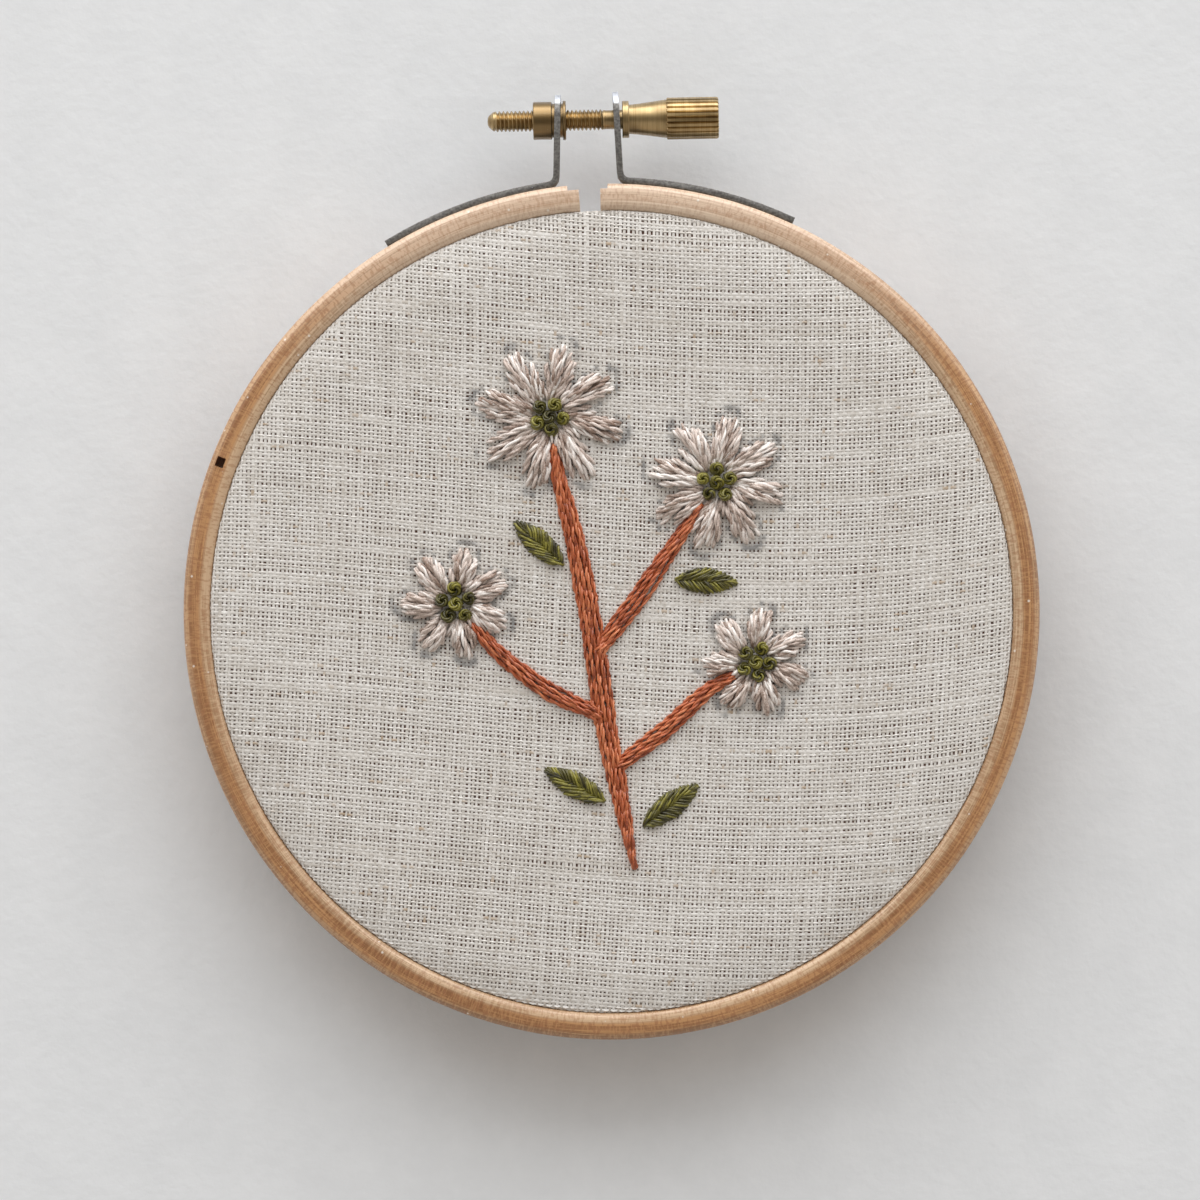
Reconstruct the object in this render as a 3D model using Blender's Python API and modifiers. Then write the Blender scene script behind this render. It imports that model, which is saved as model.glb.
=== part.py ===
"""A small embroidery hoop with a stitched sprig of daisies, lying on its back.

Metres, +Z up and out of the cloth, +Y towards the thumbscrew. The origin is on the surface that the
hoop lies on, under the middle of its whole outline. Places on the hoop are measured from the hoop's
own centre, which an empty marks.
"""

import math
from collections import namedtuple

import bmesh
import bpy
from mathutils import Matrix, Vector

# Driving dimensions
HOOP_R = 0.0550
HOOP_DEPTH = 0.0080
HOOP_WALL = 0.0034
CLEARANCE = 0.0003
CLOTH_THICKNESS = 0.0010
EAR_TOP = 0.0669

# Rings and cloth
ROUND_STEPS = 96
INNER_STEPS = 72
EDGE_ROUND = 0.0006
EDGE_SEGMENTS = 2
PLY_OUTER = 0.0007
PLY_MIDDLE = 0.0011
HOOP_BORE_R = HOOP_R - HOOP_WALL
CLOTH_R = HOOP_BORE_R - CLEARANCE
INNER_R = CLOTH_R - CLOTH_THICKNESS - CLEARANCE
INNER_WALL = 0.0033
INNER_TOP = 0.0069
CLOTH_UNDER = INNER_TOP + CLEARANCE
CLOTH_TOP = CLOTH_UNDER + CLOTH_THICKNESS
CLOTH_HEM = 0.0006
CLOTH_ROUND = 0.0016
CLOTH_ROUND_SEGMENTS = 5

# Where the outer hoop is split, and the open joint in its middle ply
GAP_ANGLE = math.radians(93.0)
GAP_WIDTH = 0.0028
PLY_GAP_ANGLE = math.radians(93.25)
PLY_GAP_WIDTH = 0.0052
SLOT_ANGLE = math.radians(159.1)
SLOT_WIDTH = 0.0013
CUTTER_MARGIN = 0.0020

# Steel brackets: a strap on the hoop, bent up into an ear
STEEL_THICKNESS = 0.0008
STEEL_WIDTH = 0.0060
STRAP_GAP = 0.0002
STRAP_R = HOOP_R + STRAP_GAP + STEEL_THICKNESS / 2
BEND_RUN = 0.0012
BEND_SEGMENTS = 4
STRAP_SEGMENTS = 9
EAR_ROUND_SEGMENTS = 6
HALF_DEPTH = HOOP_DEPTH / 2
Bracket = namedtuple("Bracket", "name foot_x top_x top_y strap_end hole_r")
BRACKETS = (
    Bracket("bracket_left", -0.00712, -0.00690, EAR_TOP - 0.0004, math.radians(121.5), 0.00225),
    Bracket("bracket_right", 0.00116, 0.00047, EAR_TOP, math.radians(65.0), 0.00165),
)

# Thumbscrew and barrel nut, placed along the screw's axis from the hoop's centre line
SCREW_Y = 0.06336
SCREW_TILT = math.radians(1.02)
TURNED_STEPS = 32
THREAD_R = 0.00135
SHANK_R = 0.00125
TIP_R = 0.0006
TIP_END = -0.01598
TIP_CONE_END = -0.0152
THREAD_END = -0.0009
COLLAR_START = 0.00138
COLLAR_END = 0.00225
COLLAR_R = 0.0024
NECK_R = 0.0019
CONE_R = 0.0025
KNOB_START = 0.00707
KNOB_END = 0.0138
KNOB_R = 0.0027
KNOB_GROOVE_R = 0.0025
KNOB_FLUTES = 24
KNOB_CHAMFER = 0.0003
KNOB_ROOT = 0.0004
KNOB_ROOT_R = 0.0023
NUT_START = -0.0101
NUT_FACE = -0.00766
NUT_R = 0.00245
NUT_CHAMFER = 0.0003
NUT_NECK_R = 0.00195
NUT_BORE_R = THREAD_R + CLEARANCE
FLANGE_START = -0.00626
FLANGE_END = -0.00586
FLANGE_R = 0.00255

# Stitched pieces, which lie just above the cloth: low pads, nearly flat underneath
UNDER_RELIEF = 0.06
WIDEST_HALF = 0.0018
STITCH_BASE = CLOTH_TOP + CLEARANCE + UNDER_RELIEF * WIDEST_HALF
KNOT_SIDES = 8
KNOT_ROWS = 4
TUBE_RESOLUTION = 2
CURVE_RESOLUTION = 4
KNOT_R = 0.00085
KNOT_RING = 0.00145
KNOTS_ROUND = 5
KNOT_HEIGHT = 1.4
EYE_R = KNOT_RING + KNOT_R + CLEARANCE
STEM_RELIEF = 0.45
LEAF_RELIEF = 0.32
Flower = namedtuple("Flower", "name x y reach petals stem_side")
FLOWERS = (
    Flower("daisy_top", -0.0080, 0.0250, 0.0100, 8, math.radians(-80.0)),
    Flower("daisy_right", 0.0135, 0.0165, 0.0094, 8, math.radians(-125.0)),
    Flower("daisy_left", -0.0200, 0.0010, 0.0076, 7, math.radians(-50.0)),
    Flower("daisy_low", 0.0185, -0.0065, 0.0074, 7, math.radians(-150.0)),
)
# Petals: the rows of points along one, its crest, and the shape of its outline
PETAL_ROWS = (0.0, 0.35, 0.7, 1.0)
PETAL_STEPS = 8
PETAL_CREST = 0.0009
PETAL_BLUNTNESS = 2.4
PETAL_WAIST = 1.0
PETAL_ROOT = 0.2
PETAL_SWELL = 0.7
NOTCH = 0.18
CREASE = 0.35
# Stems as x, y and half width
STEMS = (
    (
        (0.0030, -0.0330, 0.0004),
        (0.0012, -0.0240, 0.0011),
        (-0.0008, -0.0140, 0.0014),
        (-0.0024, -0.0030, 0.0014),
        (-0.0044, 0.0080, 0.0013),
        (-0.0066, 0.0164, 0.0010),
    ),
    ((-0.0021, -0.0055, 0.0009), (0.0032, 0.0015, 0.0012), (0.0089, 0.0099, 0.0009)),
    ((-0.0009, -0.0135, 0.0009), (-0.0085, -0.0100, 0.0012), (-0.0157, -0.0042, 0.0009)),
    ((0.0006, -0.0200, 0.0009), (0.0065, -0.0155, 0.0011), (0.0127, -0.0098, 0.0009)),
)
Leaf = namedtuple("Leaf", "name base_x base_y tip_x tip_y")
LEAVES = (
    Leaf("leaf_low_left", -0.0009, -0.0243, -0.0086, -0.0202),
    Leaf("leaf_low_right", 0.0041, -0.0275, 0.0112, -0.0222),
    Leaf("leaf_mid_right", 0.0082, 0.0041, 0.0162, 0.0037),
    Leaf("leaf_mid_left", -0.0062, 0.0060, -0.0125, 0.0116),
)
# Along a leaf: the share of its length, and its half width
LEAF_SHAPE = ((0.0, 0.0003), (0.25, 0.0014), (0.55, 0.0018), (0.82, 0.0011), (1.0, 0.0002))

CENTRE_Y = -(EAR_TOP - HOOP_R) / 2
MERGE = 0.000001
SMOOTH_ANGLE = math.radians(35.0)

# Colour, roughness and metallic value of each material
FINISHES = {
    "beech": ((0.60, 0.37, 0.20), 0.60, 0.0),
    "linen": ((0.66, 0.63, 0.58), 0.95, 0.0),
    "pale floss": ((0.57, 0.47, 0.42), 0.80, 0.0),
    "olive floss": ((0.14, 0.15, 0.02), 0.80, 0.0),
    "rust floss": ((0.44, 0.13, 0.05), 0.75, 0.0),
    "blackened steel": ((0.09, 0.09, 0.10), 0.45, 1.0),
    "brass": ((0.62, 0.45, 0.16), 0.35, 1.0),
}


def clear_scene():
    for obj in list(bpy.data.objects):
        bpy.data.objects.remove(obj, do_unlink=True)


def collection(name):
    group = bpy.data.collections.new(name)
    bpy.context.scene.collection.children.link(group)
    return group


def finish(obj, name):
    """Gives the object the named material, made at its first use."""
    made = bpy.data.materials.get(name)
    if made is None:
        colour, roughness, metallic = FINISHES[name]
        made = bpy.data.materials.new(name)
        made.use_nodes = True
        shader = made.node_tree.nodes["Principled BSDF"]
        shader.inputs["Base Color"].default_value = (*colour, 1.0)
        shader.inputs["Roughness"].default_value = roughness
        shader.inputs["Metallic"].default_value = metallic
    obj.data.materials.clear()
    obj.data.materials.append(made)


def add(name, data, group, parent=None):
    obj = bpy.data.objects.new(name, data)
    group.objects.link(obj)
    obj.parent = parent
    return obj


def cutter(name, mesh, matrix):
    """A helper solid that a Boolean uses, placed from the hoop's centre and left out of a render."""
    obj = add(name, mesh, cutters, centre)
    obj.matrix_local = matrix
    obj.hide_render = True
    obj.display_type = "WIRE"
    return obj


def mesh_from(name, bm):
    mesh = bpy.data.meshes.new(name)
    bm.to_mesh(mesh)
    bm.free()
    return mesh


def box_mesh(name, length, width, height):
    bm = bmesh.new()
    bmesh.ops.create_cube(bm, size=1.0)
    bmesh.ops.scale(bm, vec=(length, width, height), verts=bm.verts)
    return mesh_from(name, bm)


def rod_mesh(name, radius, length):
    bm = bmesh.new()
    bmesh.ops.create_cone(
        bm, cap_ends=True, segments=TURNED_STEPS, radius1=radius, radius2=radius, depth=length
    )
    return mesh_from(name, bm)


def boolean(obj, other, operation):
    modifier = obj.modifiers.new(other.name, "BOOLEAN")
    modifier.operation = operation
    modifier.object = other


def corner(x, z, radius, start, segments):
    """Points of a quarter round about x, z that starts at this angle and turns clockwise."""
    angles = [start - math.pi / 2 * i / segments for i in range(segments + 1)]
    return [(x + radius * math.cos(a), z + radius * math.sin(a)) for a in angles]


def ring_section(inner, outer, low, high, radius):
    """The rounded section of a ring, clockwise from its top outer corner."""
    near, far = inner + radius, outer - radius
    bottom, top = low + radius, high - radius
    return (
        corner(far, top, radius, math.pi / 2, EDGE_SEGMENTS)
        + corner(far, bottom, radius, 0.0, EDGE_SEGMENTS)
        + corner(near, bottom, radius, -math.pi / 2, EDGE_SEGMENTS)
        + corner(near, top, radius, math.pi, EDGE_SEGMENTS)
    )


def turned(name, section, steps, closed):
    """A profile of radius and height, turned about Z by a Screw modifier."""
    bm = bmesh.new()
    points = [bm.verts.new((radius, 0.0, height)) for radius, height in section]
    for first, second in zip(points, points[1:]):
        bm.edges.new((first, second))
    if closed:
        bm.edges.new((points[-1], points[0]))
    obj = add(name, mesh_from(name, bm), parts, centre)
    screw = obj.modifiers.new("turn", "SCREW")
    screw.steps = steps
    screw.render_steps = steps
    screw.use_merge_vertices = True
    screw.merge_threshold = MERGE
    return obj


def at_angle(angle, radius, height):
    """A place on the hoop, with X pointing outwards from its centre."""
    return Matrix.Rotation(angle, 4, "Z") @ Matrix.Translation((radius, 0.0, height))


def along_screw():
    """The screw's frame: Z along its axis, towards the knob."""
    turn = Matrix.Rotation(SCREW_TILT, 4, "Z") @ Matrix.Rotation(math.pi / 2, 4, "Y")
    return Matrix.Translation((0.0, SCREW_Y, HALF_DEPTH)) @ turn


def make_outer_hoop():
    section = ring_section(HOOP_BORE_R, HOOP_R, 0.0, HOOP_DEPTH, EDGE_ROUND)
    hoop = turned("outer_hoop", section, ROUND_STEPS, closed=True)
    reach = HOOP_WALL + 2 * CUTTER_MARGIN
    cuts = (
        ("hoop_split", GAP_ANGLE, HOOP_R - HOOP_WALL / 2, reach, GAP_WIDTH),
        ("outer_ply_step", PLY_GAP_ANGLE, HOOP_R - PLY_OUTER + reach / 2, reach, PLY_GAP_WIDTH),
        ("ply_joint", SLOT_ANGLE, HOOP_R - PLY_OUTER - PLY_MIDDLE / 2, PLY_MIDDLE, SLOT_WIDTH),
    )
    for name, angle, radius, length, width in cuts:
        box = box_mesh(name, length, width, HOOP_DEPTH + 2 * CUTTER_MARGIN)
        boolean(hoop, cutter(name, box, at_angle(angle, radius, HALF_DEPTH)), "DIFFERENCE")
    finish(hoop, "beech")


def make_inner_hoop():
    section = ring_section(INNER_R - INNER_WALL, INNER_R, 0.0, INNER_TOP, EDGE_ROUND)
    finish(turned("inner_hoop", section, INNER_STEPS, closed=True), "beech")


def make_cloth():
    """The cloth stretched over the inner hoop, with the skirt that the two hoops grip."""
    under_r = CLOTH_R - CLOTH_THICKNESS
    under_round = CLOTH_ROUND - CLOTH_THICKNESS
    fold = corner(
        CLOTH_R - CLOTH_ROUND, CLOTH_TOP - CLOTH_ROUND, CLOTH_ROUND, math.pi / 2, CLOTH_ROUND_SEGMENTS
    )
    under_fold = corner(
        under_r - under_round, CLOTH_UNDER - under_round, under_round, math.pi / 2, EDGE_SEGMENTS
    )
    section = (
        [(0.0, CLOTH_TOP), (CLOTH_R / 2, CLOTH_TOP)]
        + fold
        + [(CLOTH_R, CLOTH_HEM), (under_r, CLOTH_HEM)]
        + under_fold[::-1]
        + [(CLOTH_R / 2, CLOTH_UNDER), (0.0, CLOTH_UNDER)]
    )
    finish(turned("cloth", section, ROUND_STEPS, closed=False), "linen")


def bracket_line(row):
    """The middle line of a bracket's steel, from the strap's end round the bend to the ear's top."""
    top = Vector((row.top_x, row.top_y))
    foot = Vector((row.foot_x, HOOP_R))
    rise = (top - foot).normalized()
    heel_angle = math.acos(row.foot_x / STRAP_R)
    heel = Vector((STRAP_R * math.cos(heel_angle), STRAP_R * math.sin(heel_angle)))
    turn = math.copysign(BEND_RUN / STRAP_R, row.strap_end - heel_angle)
    near = heel_angle + turn
    line = []
    for i in range(STRAP_SEGMENTS + 1):
        angle = row.strap_end + (near - row.strap_end) * i / STRAP_SEGMENTS
        line.append(Vector((STRAP_R * math.cos(angle), STRAP_R * math.sin(angle))))
    start = line[-1]
    end = heel + rise * BEND_RUN
    for i in range(1, BEND_SEGMENTS + 1):
        t = i / BEND_SEGMENTS
        line.append(start * (1 - t) ** 2 + heel * 2 * t * (1 - t) + end * t**2)
    line.append(top)
    return line


def strip_outline(line, half):
    """A closed outline that runs along both sides of a line."""
    left, right = [], []
    for i, point in enumerate(line):
        before = line[max(i - 1, 0)]
        after = line[min(i + 1, len(line) - 1)]
        direction = (after - before).normalized()
        side = Vector((-direction.y, direction.x)) * half
        left.append(point + side)
        right.append(point - side)
    return left + right[::-1]


def flat_curve(name, outline, thickness):
    curve = bpy.data.curves.new(name, "CURVE")
    curve.dimensions = "2D"
    curve.fill_mode = "BOTH"
    curve.extrude = thickness / 2
    spline = curve.splines.new("POLY")
    spline.points.add(len(outline) - 1)
    for point, place in zip(spline.points, outline):
        point.co = (place.x, place.y, 0.0, 1.0)
    spline.use_cyclic_u = True
    return curve


def mesh_of_curve(curve):
    """The curve's evaluated mesh, with the loose caps welded on."""
    obj = add(curve.name, curve, parts)
    bpy.context.view_layer.update()
    graph = bpy.context.evaluated_depsgraph_get()
    mesh = bpy.data.meshes.new_from_object(obj.evaluated_get(graph))
    bpy.data.objects.remove(obj, do_unlink=True)
    bm = bmesh.new()
    bm.from_mesh(mesh)
    bmesh.ops.remove_doubles(bm, verts=bm.verts, dist=MERGE)
    bm.to_mesh(mesh)
    bm.free()
    return mesh


def round_ear(mesh, top_y):
    """Rounds the free end of the ear into a half circle, as seen from beside the hoop."""
    bm = bmesh.new()
    bm.from_mesh(mesh)
    low = top_y - STEEL_THICKNESS
    ends = [
        edge
        for edge in bm.edges
        if all(vert.co.y > low for vert in edge.verts)
        and abs(edge.verts[0].co.z - edge.verts[1].co.z) < MERGE
        and edge.calc_length() > STEEL_THICKNESS / 2
    ]
    bmesh.ops.bevel(
        bm,
        geom=ends,
        offset=STEEL_WIDTH / 2 - CLEARANCE,
        offset_type="OFFSET",
        affect="EDGES",
        segments=EAR_ROUND_SEGMENTS,
        profile=0.5,
        material=-1,
    )
    bm.to_mesh(mesh)
    bm.free()


def make_bracket(row):
    outline = strip_outline(bracket_line(row), STEEL_THICKNESS / 2)
    mesh = mesh_of_curve(flat_curve(row.name, outline, STEEL_WIDTH))
    round_ear(mesh, row.top_y)
    bracket = add(row.name, mesh, parts, centre)
    bracket.location.z = HALF_DEPTH
    ear_x = (row.foot_x + row.top_x) / 2
    hole = rod_mesh(row.name + "_hole", row.hole_r, 4 * STEEL_THICKNESS)
    place = along_screw() @ Matrix.Translation((0.0, 0.0, ear_x))
    boolean(bracket, cutter(row.name + "_hole", hole, place), "DIFFERENCE")
    finish(bracket, "blackened steel")


def make_nut():
    """The barrel nut: barrel, neck through the ear, and the flange that is riveted over it."""
    section = [
        (NUT_BORE_R, FLANGE_END),
        (FLANGE_R, FLANGE_END),
        (FLANGE_R, FLANGE_START),
        (NUT_NECK_R, FLANGE_START),
        (NUT_NECK_R, NUT_FACE),
        (NUT_R - NUT_CHAMFER, NUT_FACE),
        (NUT_R, NUT_FACE - NUT_CHAMFER),
        (NUT_R, NUT_START + NUT_CHAMFER),
        (NUT_R - NUT_CHAMFER, NUT_START),
        (NUT_BORE_R, NUT_START),
    ]
    nut = turned("barrel_nut", section, TURNED_STEPS, closed=True)
    nut.matrix_local = along_screw()
    finish(nut, "brass")


def fluted_knob():
    """The knob's grip: a round bar whose every second edge is drawn in to a groove."""
    bm = bmesh.new()
    length = KNOB_END - KNOB_START
    bmesh.ops.create_cone(
        bm, cap_ends=True, segments=2 * KNOB_FLUTES, radius1=KNOB_R, radius2=KNOB_R, depth=length
    )
    step = math.pi / KNOB_FLUTES
    groove = KNOB_GROOVE_R / KNOB_R
    for vert in bm.verts:
        if round(math.atan2(vert.co.y, vert.co.x) / step) % 2:
            vert.co.x *= groove
            vert.co.y *= groove
    rims = [edge for edge in bm.edges if abs(edge.verts[0].co.z - edge.verts[1].co.z) < MERGE]
    bmesh.ops.bevel(
        bm, geom=rims, offset=KNOB_CHAMFER, affect="EDGES", segments=1, profile=0.5, material=-1
    )
    return mesh_from("knob_grip", bm)


def make_thumb_screw():
    section = [
        (0.0, KNOB_START + KNOB_ROOT),
        (KNOB_ROOT_R, KNOB_START + KNOB_ROOT),
        (CONE_R, KNOB_START),
        (NECK_R, COLLAR_END),
        (COLLAR_R, COLLAR_END),
        (COLLAR_R, COLLAR_START),
        (SHANK_R, COLLAR_START),
        (SHANK_R, THREAD_END),
        (THREAD_R, THREAD_END),
        (THREAD_R, TIP_CONE_END),
        (TIP_R, TIP_END),
        (0.0, TIP_END),
    ]
    screw = turned("thumb_screw", section, TURNED_STEPS, closed=False)
    screw.matrix_local = along_screw()
    middle = (KNOB_START + KNOB_END) / 2
    grip = cutter("knob_grip", fluted_knob(), along_screw() @ Matrix.Translation((0.0, 0.0, middle)))
    boolean(screw, grip, "UNION")
    finish(screw, "brass")


def stroke_mesh(name, points, relief):
    """A low pad of stitches: a tube of changing width, pressed down."""
    curve = bpy.data.curves.new(name, "CURVE")
    curve.dimensions = "3D"
    curve.bevel_depth = 1.0
    curve.bevel_resolution = TUBE_RESOLUTION
    curve.use_fill_caps = True
    curve.resolution_u = CURVE_RESOLUTION
    spline = curve.splines.new("BEZIER")
    spline.bezier_points.add(len(points) - 1)
    for point, (x, y, half_width) in zip(spline.bezier_points, points):
        point.co = (x, y, 0.0)
        point.radius = half_width
        point.handle_left_type = "AUTO"
        point.handle_right_type = "AUTO"
    mesh = mesh_of_curve(curve)
    for vert in mesh.vertices:
        vert.co.z = pressed(vert.co.z, relief)
    return mesh


def pressed(height, relief):
    """The height above the hoop's back of a point that stood this far from a round piece's middle."""
    return STITCH_BASE + height * (relief if height > 0.0 else UNDER_RELIEF)


def fused(name, meshes, material_name):
    """One solid made from several that overlap."""
    pieces = [add(name + "_piece", mesh, cutters) for mesh in meshes]
    first = pieces[0]
    for other in pieces[1:]:
        boolean(first, other, "UNION")
    bpy.context.view_layer.update()
    graph = bpy.context.evaluated_depsgraph_get()
    mesh = bpy.data.meshes.new_from_object(first.evaluated_get(graph))
    for piece in pieces:
        bpy.data.objects.remove(piece, do_unlink=True)
    stitched(name, mesh, material_name)


def stitched(name, mesh, material_name):
    mesh.shade_smooth()
    mesh.set_sharp_from_angle(angle=SMOOTH_ANGLE)
    finish(add(name, mesh, parts, centre), material_name)


def petal_share(flower, angle):
    """How far the outline reaches at this angle: 1 at a petal's tip, NOTCH between two petals.

    The stem arrives in the middle of a space between two petals.
    """
    sector = 2 * math.pi / flower.petals
    off = abs((angle - flower.stem_side) % sector / sector - 0.5) * 2
    return NOTCH + (1 - NOTCH) * (1 - off**PETAL_BLUNTNESS) ** PETAL_WAIST


def petals_mesh(flower):
    """A turned ring whose rim is drawn in between the petals, and each petal crowned along its middle."""
    swell = [math.sin(math.pi * (PETAL_ROOT + PETAL_SWELL * share)) for share in PETAL_ROWS]
    top = [(share, PETAL_CREST * height) for share, height in zip(PETAL_ROWS, swell)]
    section = top[::-1] + [(0.0, 0.0), (1.0, 0.0)]
    bm = bmesh.new()
    points = [bm.verts.new((EYE_R + share, 0.0, height)) for share, height in section]
    for first, second in zip(points, points[1:] + points[:1]):
        bm.edges.new((first, second))
    bmesh.ops.spin(
        bm,
        geom=bm.verts[:] + bm.edges[:],
        cent=(0.0, 0.0, 0.0),
        axis=(0.0, 0.0, 1.0),
        angle=2 * math.pi,
        steps=PETAL_STEPS * flower.petals,
        use_merge=True,
    )
    for vert in bm.verts:
        angle = math.atan2(vert.co.y, vert.co.x)
        share = math.hypot(vert.co.x, vert.co.y) - EYE_R
        reach = petal_share(flower, angle)
        radius = EYE_R + share * reach * (flower.reach - EYE_R)
        height = vert.co.z * (CREASE + (1 - CREASE) * reach)
        vert.co = (
            flower.x + radius * math.cos(angle),
            flower.y + radius * math.sin(angle),
            STITCH_BASE + height,
        )
    bmesh.ops.recalc_face_normals(bm, faces=bm.faces)
    return mesh_from(flower.name + "_petals", bm)


def knot_mesh(x, y):
    bm = bmesh.new()
    bmesh.ops.create_uvsphere(bm, u_segments=KNOT_SIDES, v_segments=KNOT_ROWS, radius=KNOT_R)
    for vert in bm.verts:
        vert.co = (vert.co.x + x, vert.co.y + y, pressed(vert.co.z, KNOT_HEIGHT))
    return mesh_from("knot", bm)


def make_flower(flower):
    stitched(flower.name + "_petals", petals_mesh(flower), "pale floss")
    knots = [knot_mesh(flower.x, flower.y)]
    for index in range(KNOTS_ROUND):
        angle = flower.stem_side + index * 2 * math.pi / KNOTS_ROUND
        x = flower.x + KNOT_RING * math.cos(angle)
        y = flower.y + KNOT_RING * math.sin(angle)
        knots.append(knot_mesh(x, y))
    fused(flower.name + "_knots", knots, "olive floss")


def make_leaf(leaf):
    points = []
    for share, half_width in LEAF_SHAPE:
        x = leaf.base_x + share * (leaf.tip_x - leaf.base_x)
        y = leaf.base_y + share * (leaf.tip_y - leaf.base_y)
        points.append((x, y, half_width))
    stitched(leaf.name, stroke_mesh("leaf", points, LEAF_RELIEF), "olive floss")


def make_stems():
    fused("stems", [stroke_mesh("stem", points, STEM_RELIEF) for points in STEMS], "rust floss")


clear_scene()
parts = collection("hoop_embroidery")
cutters = collection("cutters")
centre = add("hoop_centre", None, parts)
centre.location.y = CENTRE_Y

make_outer_hoop()
make_inner_hoop()
make_cloth()
for bracket_row in BRACKETS:
    make_bracket(bracket_row)
make_nut()
make_thumb_screw()
make_stems()
for flower_row in FLOWERS:
    make_flower(flower_row)
for leaf_row in LEAVES:
    make_leaf(leaf_row)
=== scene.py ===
# %% [markdown]
# An embroidery hoop with a stitched sprig of daisies
#
# The real object is a split wooden hoop that grips a round of linen like a drum. A small brass
# thumbscrew draws the hoop's two steel ears together. The sprig is stitched in stranded cotton.
# This lesson loads the plain solids of the part first, and then models each piece again, finer.

# %% Load the solids
import math

import bmesh
import bpy
import numpy as np
from mathutils import Matrix, Vector


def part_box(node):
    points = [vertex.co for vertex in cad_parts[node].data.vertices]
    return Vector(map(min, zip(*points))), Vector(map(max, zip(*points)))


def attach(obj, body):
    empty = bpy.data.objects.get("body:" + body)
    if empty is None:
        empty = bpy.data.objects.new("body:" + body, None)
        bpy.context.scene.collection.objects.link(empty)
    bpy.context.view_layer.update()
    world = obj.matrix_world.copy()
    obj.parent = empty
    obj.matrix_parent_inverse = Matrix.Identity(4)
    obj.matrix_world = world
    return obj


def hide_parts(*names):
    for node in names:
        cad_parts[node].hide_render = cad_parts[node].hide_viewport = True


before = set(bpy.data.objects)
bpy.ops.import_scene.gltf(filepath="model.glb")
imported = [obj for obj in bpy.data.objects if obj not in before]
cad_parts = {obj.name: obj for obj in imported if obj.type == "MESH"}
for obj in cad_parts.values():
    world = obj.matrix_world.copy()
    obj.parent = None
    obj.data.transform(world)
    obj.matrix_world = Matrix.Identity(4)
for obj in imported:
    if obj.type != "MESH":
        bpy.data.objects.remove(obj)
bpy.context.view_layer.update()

# %% [markdown]
# Everything is measured from the middle of the hoop, in metres. The hoop's radius and height and the
# cloth's height come from the solids' own boxes, so that the finer pieces land on them.

# %% The hub and the main sizes
MM = 0.001
ring_low, ring_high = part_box("outer_hoop")
RING_R = (ring_high.x - ring_low.x) / 2
RING_TOP = ring_high.z
HUB = Vector(((ring_high.x + ring_low.x) / 2, ring_low.y + RING_R, 0.0))
CLOTH_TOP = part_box("cloth")[1].z
print("hub", tuple(HUB), "ring radius", RING_R, "cloth top", CLOTH_TOP)

# %% Meshes and objects
def mesh_from(bm, name):
    """The mesh of a bmesh that is done with."""
    mesh = bpy.data.meshes.new(name)
    bm.to_mesh(mesh)
    bm.free()
    return mesh


def new_object(name, data):
    """An object with this data, linked to the scene."""
    made = bpy.data.objects.new(name, data)
    bpy.context.scene.collection.objects.link(made)
    return made


# %% [markdown]
# The camera looks straight down, as in a picture taken over a table. A long lens keeps the hoop's
# walls out of sight. Its height follows from the width of table that it has to cover.

# %% Camera
LENS = 250.0
VIEW_WIDTH = 154.0 * MM
VIEW_SHIFT = Vector((-1.48 * MM, 1.48 * MM, 0.0))
camera_data = bpy.data.cameras.new("overhead_camera")
camera_data.lens = LENS
camera = new_object("overhead_camera", camera_data)
camera_height = VIEW_WIDTH * LENS / camera_data.sensor_width
camera.location = HUB + VIEW_SHIFT + Vector((0.0, 0.0, RING_TOP + camera_height))
bpy.context.scene.camera = camera
print("camera", round(camera_height, 4), "m above the hoop")

# %% [markdown]
# Small helpers keep the cells short. One adds a shader node with its inputs, which may be numbers or
# other nodes' outputs. The next ones are for sums, for masks and for mixed colours.

# %% Node helpers
def add(tree, kind, inputs=None, **settings):
    made = tree.nodes.new("ShaderNode" + kind)
    for key, value in settings.items():
        setattr(made, key, value)
    for key, value in (inputs or {}).items():
        if isinstance(value, bpy.types.NodeSocket):
            tree.links.new(value, made.inputs[key])
        else:
            made.inputs[key].default_value = value
    return made


def maths(tree, operation, *values):
    return add(tree, "Math", dict(enumerate(values)), operation=operation).outputs[0]


def plus(tree, first, second):
    return maths(tree, "ADD", first, second)


def minus(tree, first, second):
    return maths(tree, "SUBTRACT", first, second)


def times(tree, first, second):
    return maths(tree, "MULTIPLY", first, second)


def mask(tree, value, low, high):
    """0 below low and 1 above high, with a soft step between."""
    inputs = {"Value": value, "From Min": low, "From Max": high}
    made = add(tree, "MapRange", inputs, interpolation_type="SMOOTHSTEP")
    return made.outputs["Result"]


def mixed(tree, factor, first, second):
    made = add(tree, "Mix", {0: factor, 6: first, 7: second}, data_type="RGBA", blend_type="MIX")
    return made.outputs[2]


def noise(tree, vector, scale, detail=2.0, roughness=0.5):
    inputs = {"Vector": vector, "Scale": scale, "Detail": detail, "Roughness": roughness}
    return add(tree, "TexNoise", inputs).outputs["Fac"]


def stretched_noise(tree, vector, scale, detail=2.0, roughness=0.5):
    """Noise with a scale of its own along each axis."""
    stretched = add(tree, "Mapping", {"Vector": vector, "Scale": scale}).outputs[0]
    return noise(tree, stretched, 1.0, detail, roughness)


def bumped(tree, height, distance, strength):
    inputs = {"Height": height, "Distance": distance, "Strength": strength}
    return add(tree, "Bump", inputs).outputs["Normal"]


def object_place(tree):
    return add(tree, "TexCoord").outputs["Object"]


def along_thread(tree, name):
    return add(tree, "Attribute", attribute_name=name).outputs["Fac"]


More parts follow.
